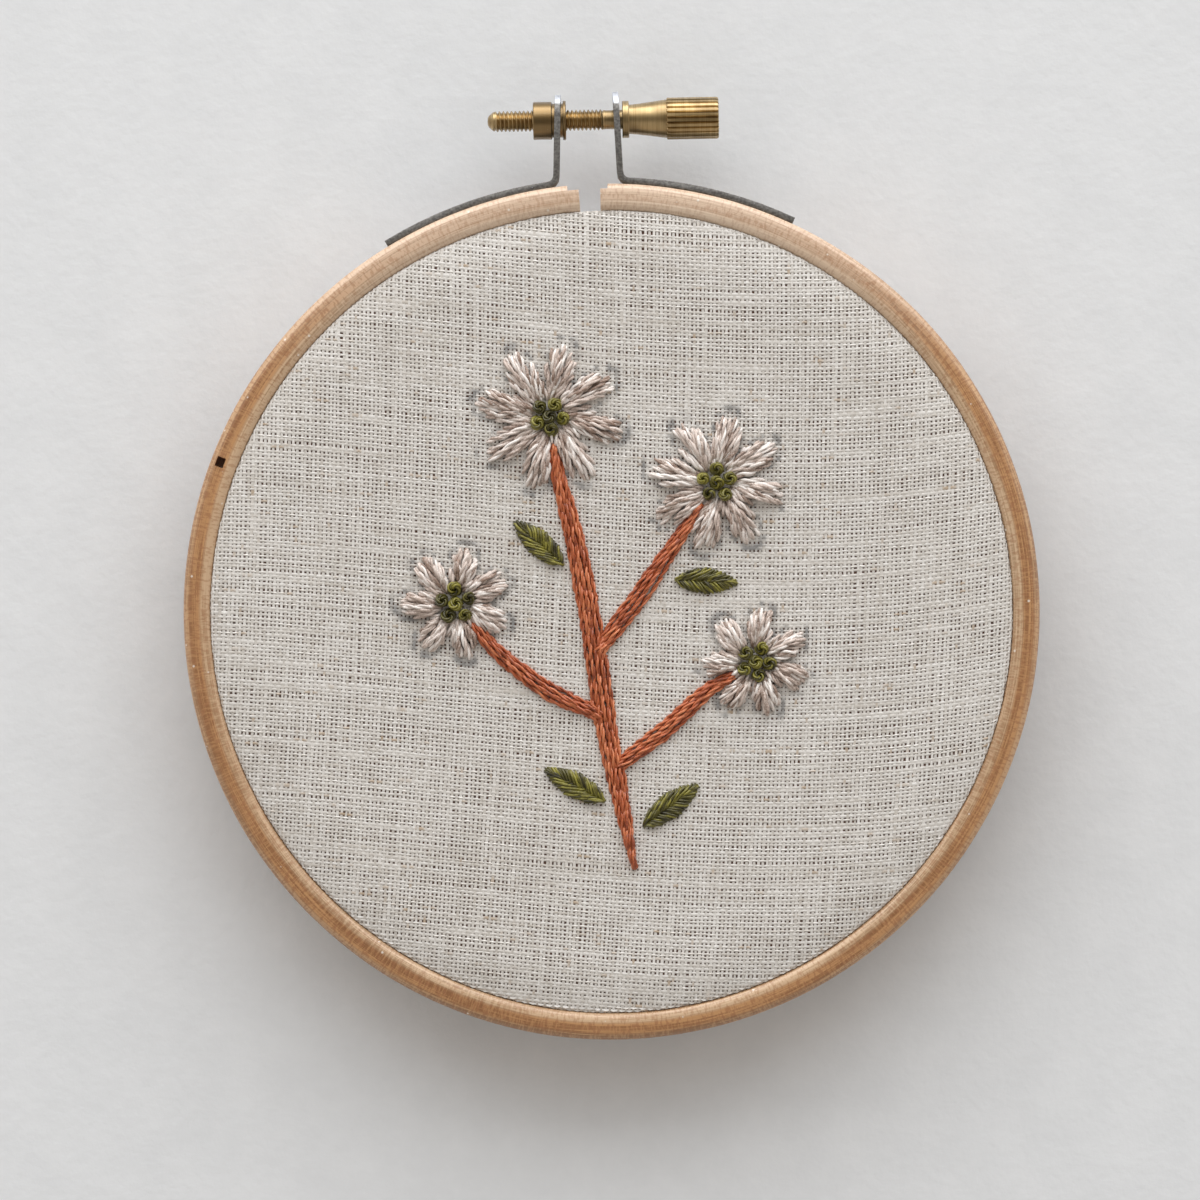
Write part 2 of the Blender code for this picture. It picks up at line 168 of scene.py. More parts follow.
# %% Materials and node groups
def colour(red, green, blue):
    return (red, green, blue, 1.0)


def new_material(name):
    """A material with an empty tree but for its Principled BSDF and its output."""
    made = bpy.data.materials.new(name)
    made.use_nodes = True
    tree = made.node_tree
    return made, tree, tree.nodes["Principled BSDF"]


def connect(tree, shader, **sockets):
    """Joins outputs to the shader's inputs: base_color goes to Base Color."""
    for key, value in sockets.items():
        tree.links.new(value, shader.inputs[key.replace("_", " ").title()])


def new_group(name, inputs, outputs):
    """A node group with named sockets. Each is given as name: kind, as in Scale: Float."""
    tree = bpy.data.node_groups.new(name, "ShaderNodeTree")
    for key, kind in inputs.items():
        tree.interface.new_socket(name=key, in_out="INPUT", socket_type="NodeSocket" + kind)
    for key, kind in outputs.items():
        tree.interface.new_socket(name=key, in_out="OUTPUT", socket_type="NodeSocket" + kind)
    start = tree.nodes.new("NodeGroupInput").outputs
    end = tree.nodes.new("NodeGroupOutput").inputs
    return tree, start, end


def use_group(tree, group, **inputs):
    made = tree.nodes.new("ShaderNodeGroup")
    made.node_tree = group
    for key, value in inputs.items():
        socket = made.inputs[key.replace("_", " ").title()]
        if isinstance(value, bpy.types.NodeSocket):
            tree.links.new(value, socket)
        else:
            socket.default_value = value
    return made.outputs


# %% [markdown]
# The table is a matt white board. The hoop lies on a low round stand, out of sight below it, as real
# ones lie on their gathered cloth. Both are part of the picture and not of the hoop.
# Light comes from one broad soft source beyond the top of the hoop, low enough to model the threads,
# and from a pale room all round, which is brightest on the same side. The room is darker overhead,
# where the camera stands, and that is what draws the dark bands along the brass.

# %% Table
TABLE_SIZE = 1.6
STAND_R = 50.0 * MM
STAND_HEIGHT = 4.5 * MM
STAND_DEPTH = 6.0 * MM
MOTTLE_SCALE = 140.0
TOOTH_SCALE = 700.0
TOOTH_DEPTH = 0.10 * MM
BOARD_GREY = colour(0.765, 0.79, 0.82)
BOARD_WHITE = colour(0.815, 0.84, 0.87)
board, tree, shader = new_material("white_board")
place = object_place(tree)
mottle = noise(tree, place, MOTTLE_SCALE, 6.0, 0.65)
board_colour = mixed(tree, mask(tree, mottle, 0.2, 0.8), BOARD_GREY, BOARD_WHITE)
tooth = noise(tree, place, TOOTH_SCALE, 4.0)
connect(tree, shader, base_color=board_colour, normal=bumped(tree, tooth, TOOTH_DEPTH, 0.6))
shader.inputs["Roughness"].default_value = 0.85
shader.inputs["Specular IOR Level"].default_value = 0.15

bm = bmesh.new()
bmesh.ops.create_grid(bm, x_segments=1, y_segments=1, size=TABLE_SIZE / 2)
table = new_object("white_table", mesh_from(bm, "white_table"))
table.location.z = -STAND_HEIGHT
bm = bmesh.new()
bmesh.ops.create_cone(
    bm, cap_ends=True, segments=96, radius1=STAND_R, radius2=STAND_R, depth=STAND_DEPTH
)
stand = new_object("round_stand", mesh_from(bm, "round_stand"))
stand.location = HUB - Vector((0.0, 0.0, STAND_DEPTH / 2))
for piece in (table, stand):
    piece.data.materials.append(board)

# %% Light
WINDOW_BEARING = math.radians(92.0)
WINDOW_HEIGHT = math.radians(27.0)
WINDOW_DISTANCE = 1.0
WINDOW_SIZE = (2.0, 0.8)
WINDOW_POWER = 8.6
WINDOW_COLOUR = (1.0, 0.985, 0.965)
ROOM_LIGHT = 0.98
NEAR_WALL = colour(0.56, 0.518, 0.47)
FAR_WALL = colour(1.0, 1.0, 1.0)
WINDOW_WALL = colour(2.6, 2.6, 2.6)
CEILING = colour(0.15, 0.145, 0.14)
light_data = bpy.data.lights.new("window", "AREA")
light_data.shape = "RECTANGLE"
light_data.size, light_data.size_y = WINDOW_SIZE
light_data.energy = WINDOW_POWER
light_data.color = WINDOW_COLOUR
window = new_object("window", light_data)
level = WINDOW_DISTANCE * math.cos(WINDOW_HEIGHT)
towards = Vector((level * math.cos(WINDOW_BEARING), level * math.sin(WINDOW_BEARING), 0.0))
towards.z = WINDOW_DISTANCE * math.sin(WINDOW_HEIGHT)
window.location = HUB + towards
window.visible_camera = False
window.rotation_euler = towards.to_track_quat("Z", "Y").to_euler()

room = bpy.data.worlds.new("pale_room")
room.use_nodes = True
tree = room.node_tree
background = tree.nodes["Background"]
direction = add(tree, "TexCoord").outputs["Generated"]
bearing = add(tree, "SeparateXYZ", {0: direction}).outputs
overhead = mask(tree, bearing["Z"], 0.84, 0.97)
wall = mixed(tree, mask(tree, bearing["Y"], -0.05, 0.85), NEAR_WALL, FAR_WALL)
window_side = mask(tree, bearing["Y"], 0.35, 0.95)
window_wall = times(tree, window_side, mask(tree, bearing["Z"], 0.65, 0.25))
wall = mixed(tree, window_wall, wall, WINDOW_WALL)
tree.links.new(mixed(tree, overhead, wall, CEILING), background.inputs["Color"])
background.inputs["Strength"].default_value = ROOM_LIGHT
bpy.context.scene.world = room
bpy.context.scene.view_settings.view_transform = "Standard"

# %% [markdown]
# A finished piece is made a mesh, moved to the hub, given its finish, and tied to the body that
# carries it. The piece stands for the plain solid of the same thing, which is then hidden.

# %% Helpers for pieces
SMOOTH_ANGLE = math.radians(38.0)
THREAD_ANGLE = math.radians(85.0)
WELD = 1e-7


def finish_piece(name, mesh, material, body, nodes, moved=True, smooth=SMOOTH_ANGLE):
    """The piece as an object of the finished model, with its body, slot and replaced nodes."""
    if moved:
        mesh.transform(Matrix.Translation(HUB))
    mesh.name = name
    mesh.shade_smooth()
    mesh.set_sharp_from_angle(angle=smooth)
    mesh.materials.clear()
    mesh.materials.append(material)
    obj = new_object(name, mesh)
    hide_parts(*nodes)
    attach(obj, body)
    triangles = sum(len(face.vertices) - 2 for face in mesh.polygons)
    print(name, triangles, "triangles")
    return obj


def mesh_of(bm, name):
    """Closes a bmesh off: welds it, turns its faces outwards, and reports edges left open."""
    bmesh.ops.remove_doubles(bm, verts=bm.verts, dist=WELD)
    bmesh.ops.recalc_face_normals(bm, faces=bm.faces)
    loose = sum(1 for edge in bm.edges if len(edge.link_faces) != 2)
    if loose:
        print(name, "has", loose, "open edges")
    return mesh_from(bm, name)


def turned(points, steps, closed=False):
    """A profile of radius and height turned about Z, as on a lathe."""
    bm = bmesh.new()
    verts = [bm.verts.new((radius, 0.0, height)) for radius, height in points]
    pairs = list(zip(verts, verts[1:]))
    if closed:
        pairs.append((verts[-1], verts[0]))
    edges = [bm.edges.new(pair) for pair in pairs]
    bmesh.ops.spin(
        bm,
        geom=verts + edges,
        cent=(0.0, 0.0, 0.0),
        axis=(0.0, 0.0, 1.0),
        angle=2 * math.pi,
        steps=steps,
        use_merge=True,
    )
    bmesh.ops.remove_doubles(bm, verts=bm.verts, dist=WELD)
    return bm


def quarter(x, z, radius, start, segments):
    """Points of a quarter round about x, z that starts at this angle and turns clockwise."""
    angles = [start - math.pi / 2 * i / segments for i in range(segments + 1)]
    return [(x + radius * math.cos(a), z + radius * math.sin(a)) for a in angles]


def smooth_random(rng, shape, axis, length):
    """Random numbers about 0 that change slowly along one axis."""
    reach = int(3 * length)
    steps = np.arange(-reach, reach + 1)
    kernel = np.exp(-0.5 * (steps / length) ** 2)
    wide = list(shape)
    wide[axis] += 2 * reach
    raw = rng.standard_normal(wide)
    soft = np.apply_along_axis(lambda row: np.convolve(row, kernel, "valid"), axis, raw)
    return soft / np.sqrt((kernel**2).sum())


# %% [markdown]
# The outer hoop is three thin beech plies, bent and glued. A ply's grain runs round the hoop, so the
# wood's pattern needs places measured round the hoop and across it. One node group turns an object's
# own coordinates into those. It starts counting at the hoop's split, where no wood can show the join.

# %% Coordinates round the hoop
SPLIT_ANGLE = math.radians(93.0)
way_outputs = {"Way": "Vector", "Radius": "Float"}
group_round, start, end = new_group("round_the_hoop", {"Place": "Vector"}, way_outputs)
from_hub = {"Vector": start["Place"], "Location": tuple(-HUB)}
centred = add(group_round, "Mapping", from_hub, vector_type="POINT").outputs[0]
from_split = {"Vector": centred, "Rotation": (0.0, 0.0, -SPLIT_ANGLE - math.pi)}
unwound = add(group_round, "Mapping", from_split).outputs[0]
spot = add(group_round, "SeparateXYZ", {0: unwound}).outputs
turn = maths(group_round, "ARCTAN2", spot["Y"], spot["X"])
flat = add(group_round, "CombineXYZ", {"X": spot["X"], "Y": spot["Y"]}).outputs[0]
radius = add(group_round, "VectorMath", {0: flat}, operation="LENGTH").outputs["Value"]
arc = times(group_round, turn, RING_R)
way = add(group_round, "CombineXYZ", {"X": arc, "Y": radius, "Z": spot["Z"]}).outputs[0]
group_round.links.new(way, end["Way"])
group_round.links.new(radius, end["Radius"])

# %% Beech grain
STREAK_SCALE = (90.0, 5200.0, 900.0)
BAND_SCALE = (24.0, 900.0, 160.0)
CROSS_SCALE = (3400.0, 560.0, 900.0)
RAY_SCALE = (3000.0, 1100.0, 900.0)
PORE_SCALE = (900.0, 9000.0, 5000.0)
DUST_SCALE = 420.0
CROSS_SHARE = 0.60
DUST_SHARE = 0.8
RAY_BROWN = colour(0.34, 0.150, 0.065)
DUST_PALE = colour(0.86, 0.80, 0.72)
grain_inputs = {"Way": "Vector", "Pale": "Color", "Dark": "Color", "Flecks": "Float"}
group_grain, start, end = new_group("beech_grain", grain_inputs, {"Color": "Color", "Height": "Float"})
streaks = stretched_noise(group_grain, start["Way"], STREAK_SCALE, 3.0, 0.6)
bands = stretched_noise(group_grain, start["Way"], BAND_SCALE)
share = mask(group_grain, plus(group_grain, streaks, bands), 0.88, 1.12)
wood = mixed(group_grain, share, start["Dark"], start["Pale"])
cross = stretched_noise(group_grain, start["Way"], CROSS_SCALE, 3.0, 0.6)
crossed = times(group_grain, mask(group_grain, cross, 0.45, 0.60), CROSS_SHARE)
wood = mixed(group_grain, crossed, wood, start["Pale"])
rays = stretched_noise(group_grain, start["Way"], RAY_SCALE)
rayed = times(group_grain, mask(group_grain, rays, 0.50, 0.62), start["Flecks"])
wood = mixed(group_grain, rayed, wood, RAY_BROWN)
dust_inputs = {"Vector": start["Way"], "Scale": DUST_SCALE}
dust = add(group_grain, "TexVoronoi", dust_inputs).outputs["Distance"]
dusty = times(group_grain, mask(group_grain, dust, 0.085, 0.05), DUST_SHARE)
wood = mixed(group_grain, dusty, wood, DUST_PALE)
pores = stretched_noise(group_grain, start["Way"], PORE_SCALE)
relief = plus(group_grain, pores, times(group_grain, streaks, 1.5))
group_grain.links.new(wood, end["Color"])
group_grain.links.new(relief, end["Height"])

# %% [markdown]
# Each ply is cut from another board, so the three differ a little: a pale inner ply, a browner one in
# the middle that shows its end grain as short flecks, and a straw coloured outer one. A thin line of
# glue lies between two plies. Masks on the radius choose the ply.

# %% Beech for the outer hoop
INNER_LINE = 52.85 * MM
OUTER_LINE = 54.25 * MM
LINE_SHIFT = 0.08 * MM
WAVER = 0.16 * MM
# The wood towards the split is mixed paler: partly its own paler colour, partly painted light on the side
# the light comes from.
PALER_AND_LIT_SHARE = 0.68
FLECKS_LOST = 0.55
GLUE_SHARE = 0.30
BROAD_SHARE = 0.16
SPLIT_PALE_AND_LIT = colour(0.82, 0.68, 0.55)
SPLIT_DARK_AND_LIT = colour(0.72, 0.55, 0.41)
GLUE_BROWN = colour(0.30, 0.14, 0.06)
BROAD_BROWN = colour(0.45, 0.22, 0.09)
beech, tree, shader = new_material("beech_plies")
place = object_place(tree)
round_hoop = use_group(tree, group_round, place=place)
waver = times(tree, stretched_noise(tree, round_hoop["Way"], (220.0, 1.0, 1.0)), WAVER)
across = plus(tree, round_hoop["Radius"], waver)
up_table = add(tree, "SeparateXYZ", {0: place}).outputs["Y"]
# Paler towards the split, on the side the light comes from: partly the wood's own paler colour, partly
# painted light.
near_split = mask(tree, up_table, HUB.y + 0.50 * RING_R, HUB.y + 0.98 * RING_R)
paler_and_lit = times(tree, near_split, PALER_AND_LIT_SHARE)
fleck_share = minus(tree, 1.0, times(tree, near_split, FLECKS_LOST))


def ply(pale, dark, flecks):
    """One ply's wood, paler towards the split: partly its own paler colour there, partly painted light on
    the side the light comes from.
    """
    pale = mixed(tree, paler_and_lit, pale, SPLIT_PALE_AND_LIT)
    dark = mixed(tree, paler_and_lit, dark, SPLIT_DARK_AND_LIT)
    flecks = times(tree, fleck_share, flecks)
    return use_group(tree, group_grain, way=round_hoop["Way"], pale=pale, dark=dark, flecks=flecks)


inner_ply = ply(colour(0.64, 0.455, 0.29), colour(0.37, 0.225, 0.12), 0.45)
middle_ply = ply(colour(0.53, 0.285, 0.125), colour(0.26, 0.115, 0.044), 0.70)
outer_ply = ply(colour(0.60, 0.375, 0.205), colour(0.31, 0.165, 0.078), 0.60)
past_inner = mask(tree, across, INNER_LINE - 0.15 * MM, INNER_LINE + 0.35 * MM)
past_outer = mask(tree, across, OUTER_LINE - 0.10 * MM, OUTER_LINE + 0.30 * MM)
wood = mixed(tree, past_inner, inner_ply["Color"], middle_ply["Color"])
wood = mixed(tree, past_outer, wood, outer_ply["Color"])
for line in (INNER_LINE, OUTER_LINE):
    away = maths(tree, "ABSOLUTE", minus(tree, across, line + LINE_SHIFT))
    glue = times(tree, mask(tree, away, 0.10 * MM, 0.03 * MM), GLUE_SHARE)
    wood = mixed(tree, glue, wood, GLUE_BROWN)
broad = mask(tree, stretched_noise(tree, round_hoop["Way"], (30.0, 30.0, 30.0)), 0.3, 0.7)
wood = mixed(tree, times(tree, broad, BROAD_SHARE), wood, BROAD_BROWN)
connect(tree, shader, base_color=wood, normal=bumped(tree, middle_ply["Height"], 0.03 * MM, 0.7))
shader.inputs["Roughness"].default_value = 0.38
shader.inputs["Specular IOR Level"].default_value = 0.75

# %% [markdown]
# The hoop's section is a rectangle with well rounded edges, because it is sanded after bending. It is
# drawn as one face and cut by two planes where the plies meet. Spin sweeps it round to a solid with
# two flat ends. The outer ply stops short of the others, so the ends of the two inner plies are
# extruded on their own and their rims eased with a bevel.

# %% Outer hoop
BORE_R = 51.46 * MM
SPLIT_WIDTH = 2.8 * MM
STEP_WIDTH = 5.2 * MM
STEP_ANGLE = math.radians(93.25)
RING_STEPS = 300
OUTER_ROUND = 1.15 * MM
INNER_ROUND = 1.15 * MM
BACK_ROUND = 0.6 * MM
END_EASE = 0.16 * MM


def ring_section(inner, outer, low, high, rounds, segments=6):
    """The rounded section of a ring, clockwise from its top outer corner."""
    top_outer, back, top_inner = rounds
    right_angle = math.pi / 2
    return (
        quarter(outer - top_outer, high - top_outer, top_outer, right_angle, segments)
        + quarter(outer - back, low + back, back, 0.0, segments)
        + quarter(inner + back, low + back, back, -right_angle, segments)
        + quarter(inner + top_inner, high - top_inner, top_inner, math.pi, segments)
    )


section = ring_section(BORE_R, RING_R, 0.0, RING_TOP, (OUTER_ROUND, BACK_ROUND, INNER_ROUND))
bm = bmesh.new()
bm.faces.new([bm.verts.new((radius, 0.0, height)) for radius, height in section])
for line in (INNER_LINE, OUTER_LINE):
    bmesh.ops.bisect_plane(
        bm,
        geom=bm.verts[:] + bm.edges[:] + bm.faces[:],
        dist=WELD,
        plane_co=(line + LINE_SHIFT, 0.0, 0.0),
        plane_no=(1.0, 0.0, 0.0),
    )
step_start = STEP_ANGLE + STEP_WIDTH / 2 / RING_R
step_end = STEP_ANGLE - STEP_WIDTH / 2 / RING_R + 2 * math.pi
split_start = SPLIT_ANGLE + SPLIT_WIDTH / 2 / RING_R
split_end = SPLIT_ANGLE - SPLIT_WIDTH / 2 / RING_R + 2 * math.pi
bmesh.ops.rotate(bm, verts=bm.verts, cent=(0, 0, 0), matrix=Matrix.Rotation(step_start, 3, "Z"))
first_end = bm.faces[:]
swept = bmesh.ops.spin(
    bm,
    geom=bm.verts[:] + bm.edges[:] + bm.faces[:],
    cent=(0.0, 0.0, 0.0),
    axis=(0.0, 0.0, 1.0),
    angle=step_end - step_start,
    steps=RING_STEPS,
    use_merge=False,
)
last_end = [item for item in swept["geom_last"] if isinstance(item, bmesh.types.BMFace)]


def lengthen(end_faces, turn):
    """Extrudes the two inner plies past the end of the outer one, by an angle."""
    inner = [f for f in end_faces if f.calc_center_median().xy.length < OUTER_LINE]
    made = bmesh.ops.extrude_face_region(bm, geom=inner)["geom"]
    verts = [item for item in made if isinstance(item, bmesh.types.BMVert)]
    bmesh.ops.rotate(bm, verts=verts, cent=(0, 0, 0), matrix=Matrix.Rotation(turn, 3, "Z"))
    caps = [item for item in made if isinstance(item, bmesh.types.BMFace)]
    outer = [f for f in end_faces if f not in inner]
    bmesh.ops.delete(bm, geom=inner, context="FACES")
    return caps + outer


caps = lengthen(first_end, split_start - step_start) + lengthen(last_end, split_end - step_end)
bmesh.ops.remove_doubles(bm, verts=bm.verts, dist=WELD)
caps = {face for face in caps if face.is_valid}
rims = [e for e in bm.edges if len(e.link_faces) == 2 and len(caps.intersection(e.link_faces)) == 1]
bmesh.ops.bevel(
    bm, geom=rims, offset=END_EASE, affect="EDGES", segments=2, profile=0.5, material=-1, clamp_overlap=True
)

# %% [markdown]
# Nothing bent by hand is perfectly round or flat. A slow waviness of a few hundredths of a millimetre
# makes the highlight along the rim break up as it does on the real hoop.

# %% Slow waviness of the rim, and the open joint
SLOT_ANGLE = math.radians(159.1)
SLOT_WIDTH = 1.3 * MM
SLOT_INNER = 53.2 * MM
SLOT_OUTER = 54.3 * MM
SLOT_DEPTH = 2.2 * MM
WAVES = ((3, 0.035, 0.7), (7, 0.022, 2.1), (13, 0.014, 4.4), (29, 0.010, 1.3))
WAVE_DROP = 0.06 * MM
WAVE_OUTWARDS = 0.6


def waviness(angle):
    """How far the rim rises here: waves of a count round the hoop, a size in mm and a phase."""
    return sum(size * math.sin(count * angle + phase) for count, size, phase in WAVES) * MM


for vert in bm.verts:
    lift = waviness(math.atan2(vert.co.y, vert.co.x))
    share = vert.co.z / RING_TOP
    vert.co.z += (lift - WAVE_DROP) * share
    vert.co.xy *= 1 + WAVE_OUTWARDS * lift * share / RING_R
ring_mesh = mesh_of(bm, "outer_hoop_plies")

bm = bmesh.new()
bmesh.ops.create_cube(bm, size=1.0)
bmesh.ops.scale(bm, vec=(SLOT_OUTER - SLOT_INNER, SLOT_WIDTH, 2 * SLOT_DEPTH), verts=bm.verts)
bmesh.ops.translate(bm, vec=((SLOT_OUTER + SLOT_INNER) / 2, 0.0, RING_TOP), verts=bm.verts)
bmesh.ops.rotate(bm, verts=bm.verts, cent=(0, 0, 0), matrix=Matrix.Rotation(SLOT_ANGLE, 3, "Z"))
slot_mesh = mesh_of(bm, "ply_joint")


def carved(mesh, cutter_mesh):
    """The mesh with the cutter taken out of it."""
    body = new_object("carved_body", mesh)
    cutter = new_object("carving_cutter", cutter_mesh)
    cut = body.modifiers.new("cut", "BOOLEAN")
    cut.object = cutter
    cut.operation = "DIFFERENCE"
    bpy.context.view_layer.update()
    graph = bpy.context.evaluated_depsgraph_get()
    made = bpy.data.meshes.new_from_object(body.evaluated_get(graph))
    for obj in (body, cutter):
        bpy.data.objects.remove(obj, do_unlink=True)
    return made


finish_piece("outer_hoop_plies", carved(ring_mesh, slot_mesh), beech, "hoop", ["outer_hoop"])

# %% [markdown]
# The inner hoop is a closed ring that the cloth lies over. Only its inner wall and back edge show,
# from behind. It is plain beech, turned from one section.

# %% Inner hoop
INNER_HOOP_R = 50.55 * MM
INNER_BORE_R = 46.7 * MM
INNER_TOP = 7.5 * MM
plain_beech, tree, shader = new_material("beech_inner")
round_hoop = use_group(tree, group_round, place=object_place(tree))
grain = use_group(
    tree,
    group_grain,
    way=round_hoop["Way"],
    pale=colour(0.64, 0.43, 0.25),
    dark=colour(0.48, 0.28, 0.14),
    flecks=0.25,
)
connect(tree, shader, base_color=grain["Color"], normal=bumped(tree, grain["Height"], 0.02 * MM, 0.6))
shader.inputs["Roughness"].default_value = 0.6
rounds = (BACK_ROUND, BACK_ROUND, BACK_ROUND)
section = ring_section(INNER_BORE_R, INNER_HOOP_R, 0.0, INNER_TOP, rounds)
ring_mesh = mesh_of(turned(section, 180, closed=True), "inner_hoop_ring")
inner_hoop = finish_piece("inner_hoop_ring", ring_mesh, plain_beech, "hoop", ["inner_hoop"])

# %% [markdown]
# The cloth is a plain weave of linen and cotton, about fifty threads to the inch. Seen this close its
# threads and the dark gaps between them are the look of it, so the face is woven thread by thread
# over a thin base. The base is the cloth's own body: a disc, its fold over the inner hoop, and the
# skirt that the two hoops grip. Where the threads cover it, its face is painted dark brown: painted
# shade for the gaps. Its weave pattern elsewhere has painted shade in its gaps too.

# %% Linen colours
WARP_PITCH = 0.523 * MM
WEFT_PITCH = 0.501 * MM
THREAD_MID = CLOTH_TOP - 0.18 * MM
FOLD_START = 50.72 * MM
FOLD_CENTRE_Z = CLOTH_TOP - 0.8 * MM
WOVEN_REACH = 52.4 * MM
SAG_START = 45.0 * MM
SAG = 0.50 * MM
LINEN_PALE = colour(0.70, 0.66, 0.60)
LINEN_DULL = colour(0.60, 0.55, 0.48)
# Painted shade: brown for the weave's gaps, and a deeper brown for the face under the threads.
PAINTED_GAP_SHADE = colour(0.30, 0.24, 0.19)
SHADE_BROWN_UNDER_THREADS = colour(0.15, 0.08, 0.06)


def sag(far):
    """How far the stretched cloth has sunk near the hoop, where it bends down over the inner ring."""
    share = np.clip((far - SAG_START) / (FOLD_START - SAG_START), 0.0, 1.0)
    return SAG * share**2


weave_outputs = {"Height": "Float", "Gap": "Float"}
group_weave, start, end = new_group("plain_weave", {"Place": "Vector"}, weave_outputs)
spot = add(group_weave, "SeparateXYZ", {0: start["Place"]}).outputs
over_x = maths(group_weave, "SINE", times(group_weave, spot["X"], math.pi / WARP_PITCH))
over_y = maths(group_weave, "SINE", times(group_weave, spot["Y"], math.pi / WEFT_PITCH))
checker = times(group_weave, over_x, over_y)
rib_x = maths(group_weave, "ABSOLUTE", over_x)
rib_y = maths(group_weave, "ABSOLUTE", over_y)
raised = plus(group_weave, maths(group_weave, "ABSOLUTE", checker), checker)
covered = maths(group_weave, "MAXIMUM", rib_x, rib_y)
group_weave.links.new(raised, end["Height"])
group_weave.links.new(mask(group_weave, covered, 0.55, 0.35), end["Gap"])

base_linen, tree, shader = new_material("linen_base")
place = object_place(tree)
weave = use_group(tree, group_weave, place=place)
tone = mixed(tree, noise(tree, place, 900.0, 3.0), LINEN_PALE, LINEN_DULL)
# Painted shade in the weave's gaps.
tone = mixed(tree, weave["Gap"], tone, PAINTED_GAP_SHADE)
level = add(tree, "SeparateXYZ", {0: place}).outputs["Z"]
on_face = mask(tree, level, FOLD_CENTRE_Z - 0.1 * MM, FOLD_CENTRE_Z + 0.2 * MM)
facing = add(tree, "NewGeometry").outputs["Normal"]
up = add(tree, "SeparateXYZ", {0: facing}).outputs["Z"]
# Painted shade: the base's upward face under the woven threads is made dark brown, as the gaps look.
painted_shade_under_threads = times(tree, on_face, mask(tree, up, 0.2, 0.7))
tone = mixed(tree, painted_shade_under_threads, tone, SHADE_BROWN_UNDER_THREADS)
connect(tree, shader, base_color=tone, normal=bumped(tree, weave["Height"], 0.08 * MM, 0.8))
shader.inputs["Roughness"].default_value = 0.9
shader.inputs["Specular IOR Level"].default_value = 0.1

# %% Cloth base
BASE_TOP = THREAD_MID - 0.09 * MM
BASE_THICKNESS = 0.35 * MM
HEM_Z = 0.7 * MM
EASE_Z = FOLD_CENTRE_Z - 1.2 * MM
EASE_OUT = 0.08 * MM
HEM_OUT = 0.10 * MM
FLAT_STEPS = (0.3, 0.6, 0.8, 0.88, 0.92, 0.94, 0.96, 0.98)
under_z = BASE_TOP - BASE_THICKNESS
top_round = BASE_TOP - FOLD_CENTRE_Z
under_round = top_round - BASE_THICKNESS
skirt_r = FOLD_START + top_round
inside_r = skirt_r - BASE_THICKNESS


def face_points(z):
    """The face from near its middle to the fold, sinking as sag says."""
    return [(share * FOLD_START, z - sag(share * FOLD_START)) for share in FLAT_STEPS]


def fold_points(round_r):
    """The fold over the inner hoop, as low at its start as the face there."""
    bend = quarter(FOLD_START, FOLD_CENTRE_Z, round_r, math.pi / 2, 8)
    return [(radius, z - SAG * (z - FOLD_CENTRE_Z) / top_round) for radius, z in bend]


profile = [(0.0, BASE_TOP)] + face_points(BASE_TOP) + fold_points(top_round)
profile += [(skirt_r + EASE_OUT, EASE_Z), (skirt_r + HEM_OUT, HEM_Z)]
profile += [(inside_r + HEM_OUT, HEM_Z), (inside_r + EASE_OUT, EASE_Z)]
profile += fold_points(under_round)[::-1] + face_points(under_z)[::-1] + [(0.0, under_z)]
bm = turned(profile, 144)
cloth = finish_piece("cloth_base", mesh_of(bm, "cloth_base"), base_linen, "hoop", ["cloth"])

# %% [markdown]
# Every thread, in the weave and in the stitches, is a closed tube of few sides. One grid makes
# hundreds of them at once: its columns are dealt out to the tubes, the faces between two tubes are
# deleted, each tube's first and last column are welded, and the ends are filled. The places of all
# the points are worked out together, from the threads' middle lines.

# %% Tubes from one grid
def tube_grid(name, tubes, sides, rings):
    """A flat grid mesh with a strip of columns for each tube, and its points' tube, side and ring."""
    columns = tubes * (sides + 1)
    bm = bmesh.new()
    bmesh.ops.create_grid(bm, x_segments=columns - 1, y_segments=rings - 1, size=1.0)
    bm.verts.index_update()
    between = [
        face
        for face in bm.faces
        if min(vert.index for vert in face.verts) % columns % (sides + 1) == sides
    ]
    bmesh.ops.delete(bm, geom=between, context="FACES_ONLY")
    wires = [edge for edge in bm.edges if not edge.link_faces]
    bmesh.ops.delete(bm, geom=wires, context="EDGES")
    mesh = mesh_from(bm, name)
    ring, column = np.divmod(np.arange(columns * rings), columns)
    tube, side = np.divmod(column, sides + 1)
    return mesh, tube, side, ring


def close_tubes(mesh, points, attributes, dropped=None):
    """Places the points, welds each tube's seam, fills its ends and turns its faces outwards."""
    mesh.vertices.foreach_set("co", points.astype(np.float32).ravel())
    for name, values in attributes.items():
        layer = mesh.attributes.new(name, "FLOAT", "POINT")
        layer.data.foreach_set("value", values.astype(np.float32).ravel())
    bm = bmesh.new()
    bm.from_mesh(mesh)
    if dropped is not None:
        bm.verts.ensure_lookup_table()
        outside = [bm.verts[index] for index in np.flatnonzero(dropped)]
        bmesh.ops.delete(bm, geom=outside, context="VERTS")
        bare = [vert for vert in bm.verts if not vert.link_faces]
        bmesh.ops.delete(bm, geom=bare, context="VERTS")
    bmesh.ops.remove_doubles(bm, verts=bm.verts, dist=WELD)
    rims = [edge for edge in bm.edges if len(edge.link_faces) == 1]
    bmesh.ops.holes_fill(bm, edges=rims, sides=0)
    bmesh.ops.recalc_face_normals(bm, faces=bm.faces)
    bm.to_mesh(mesh)
    bm.free()
    return mesh


# %% [markdown]
# In a plain weave each thread passes over one and under the next. Both sets of threads share one
# table of crossings, so that they stay on each other. Handwoven looking cloth needs its faults: rows
# bow where the cloth was pulled, threads wander and change in thickness, and the weft has slubs.

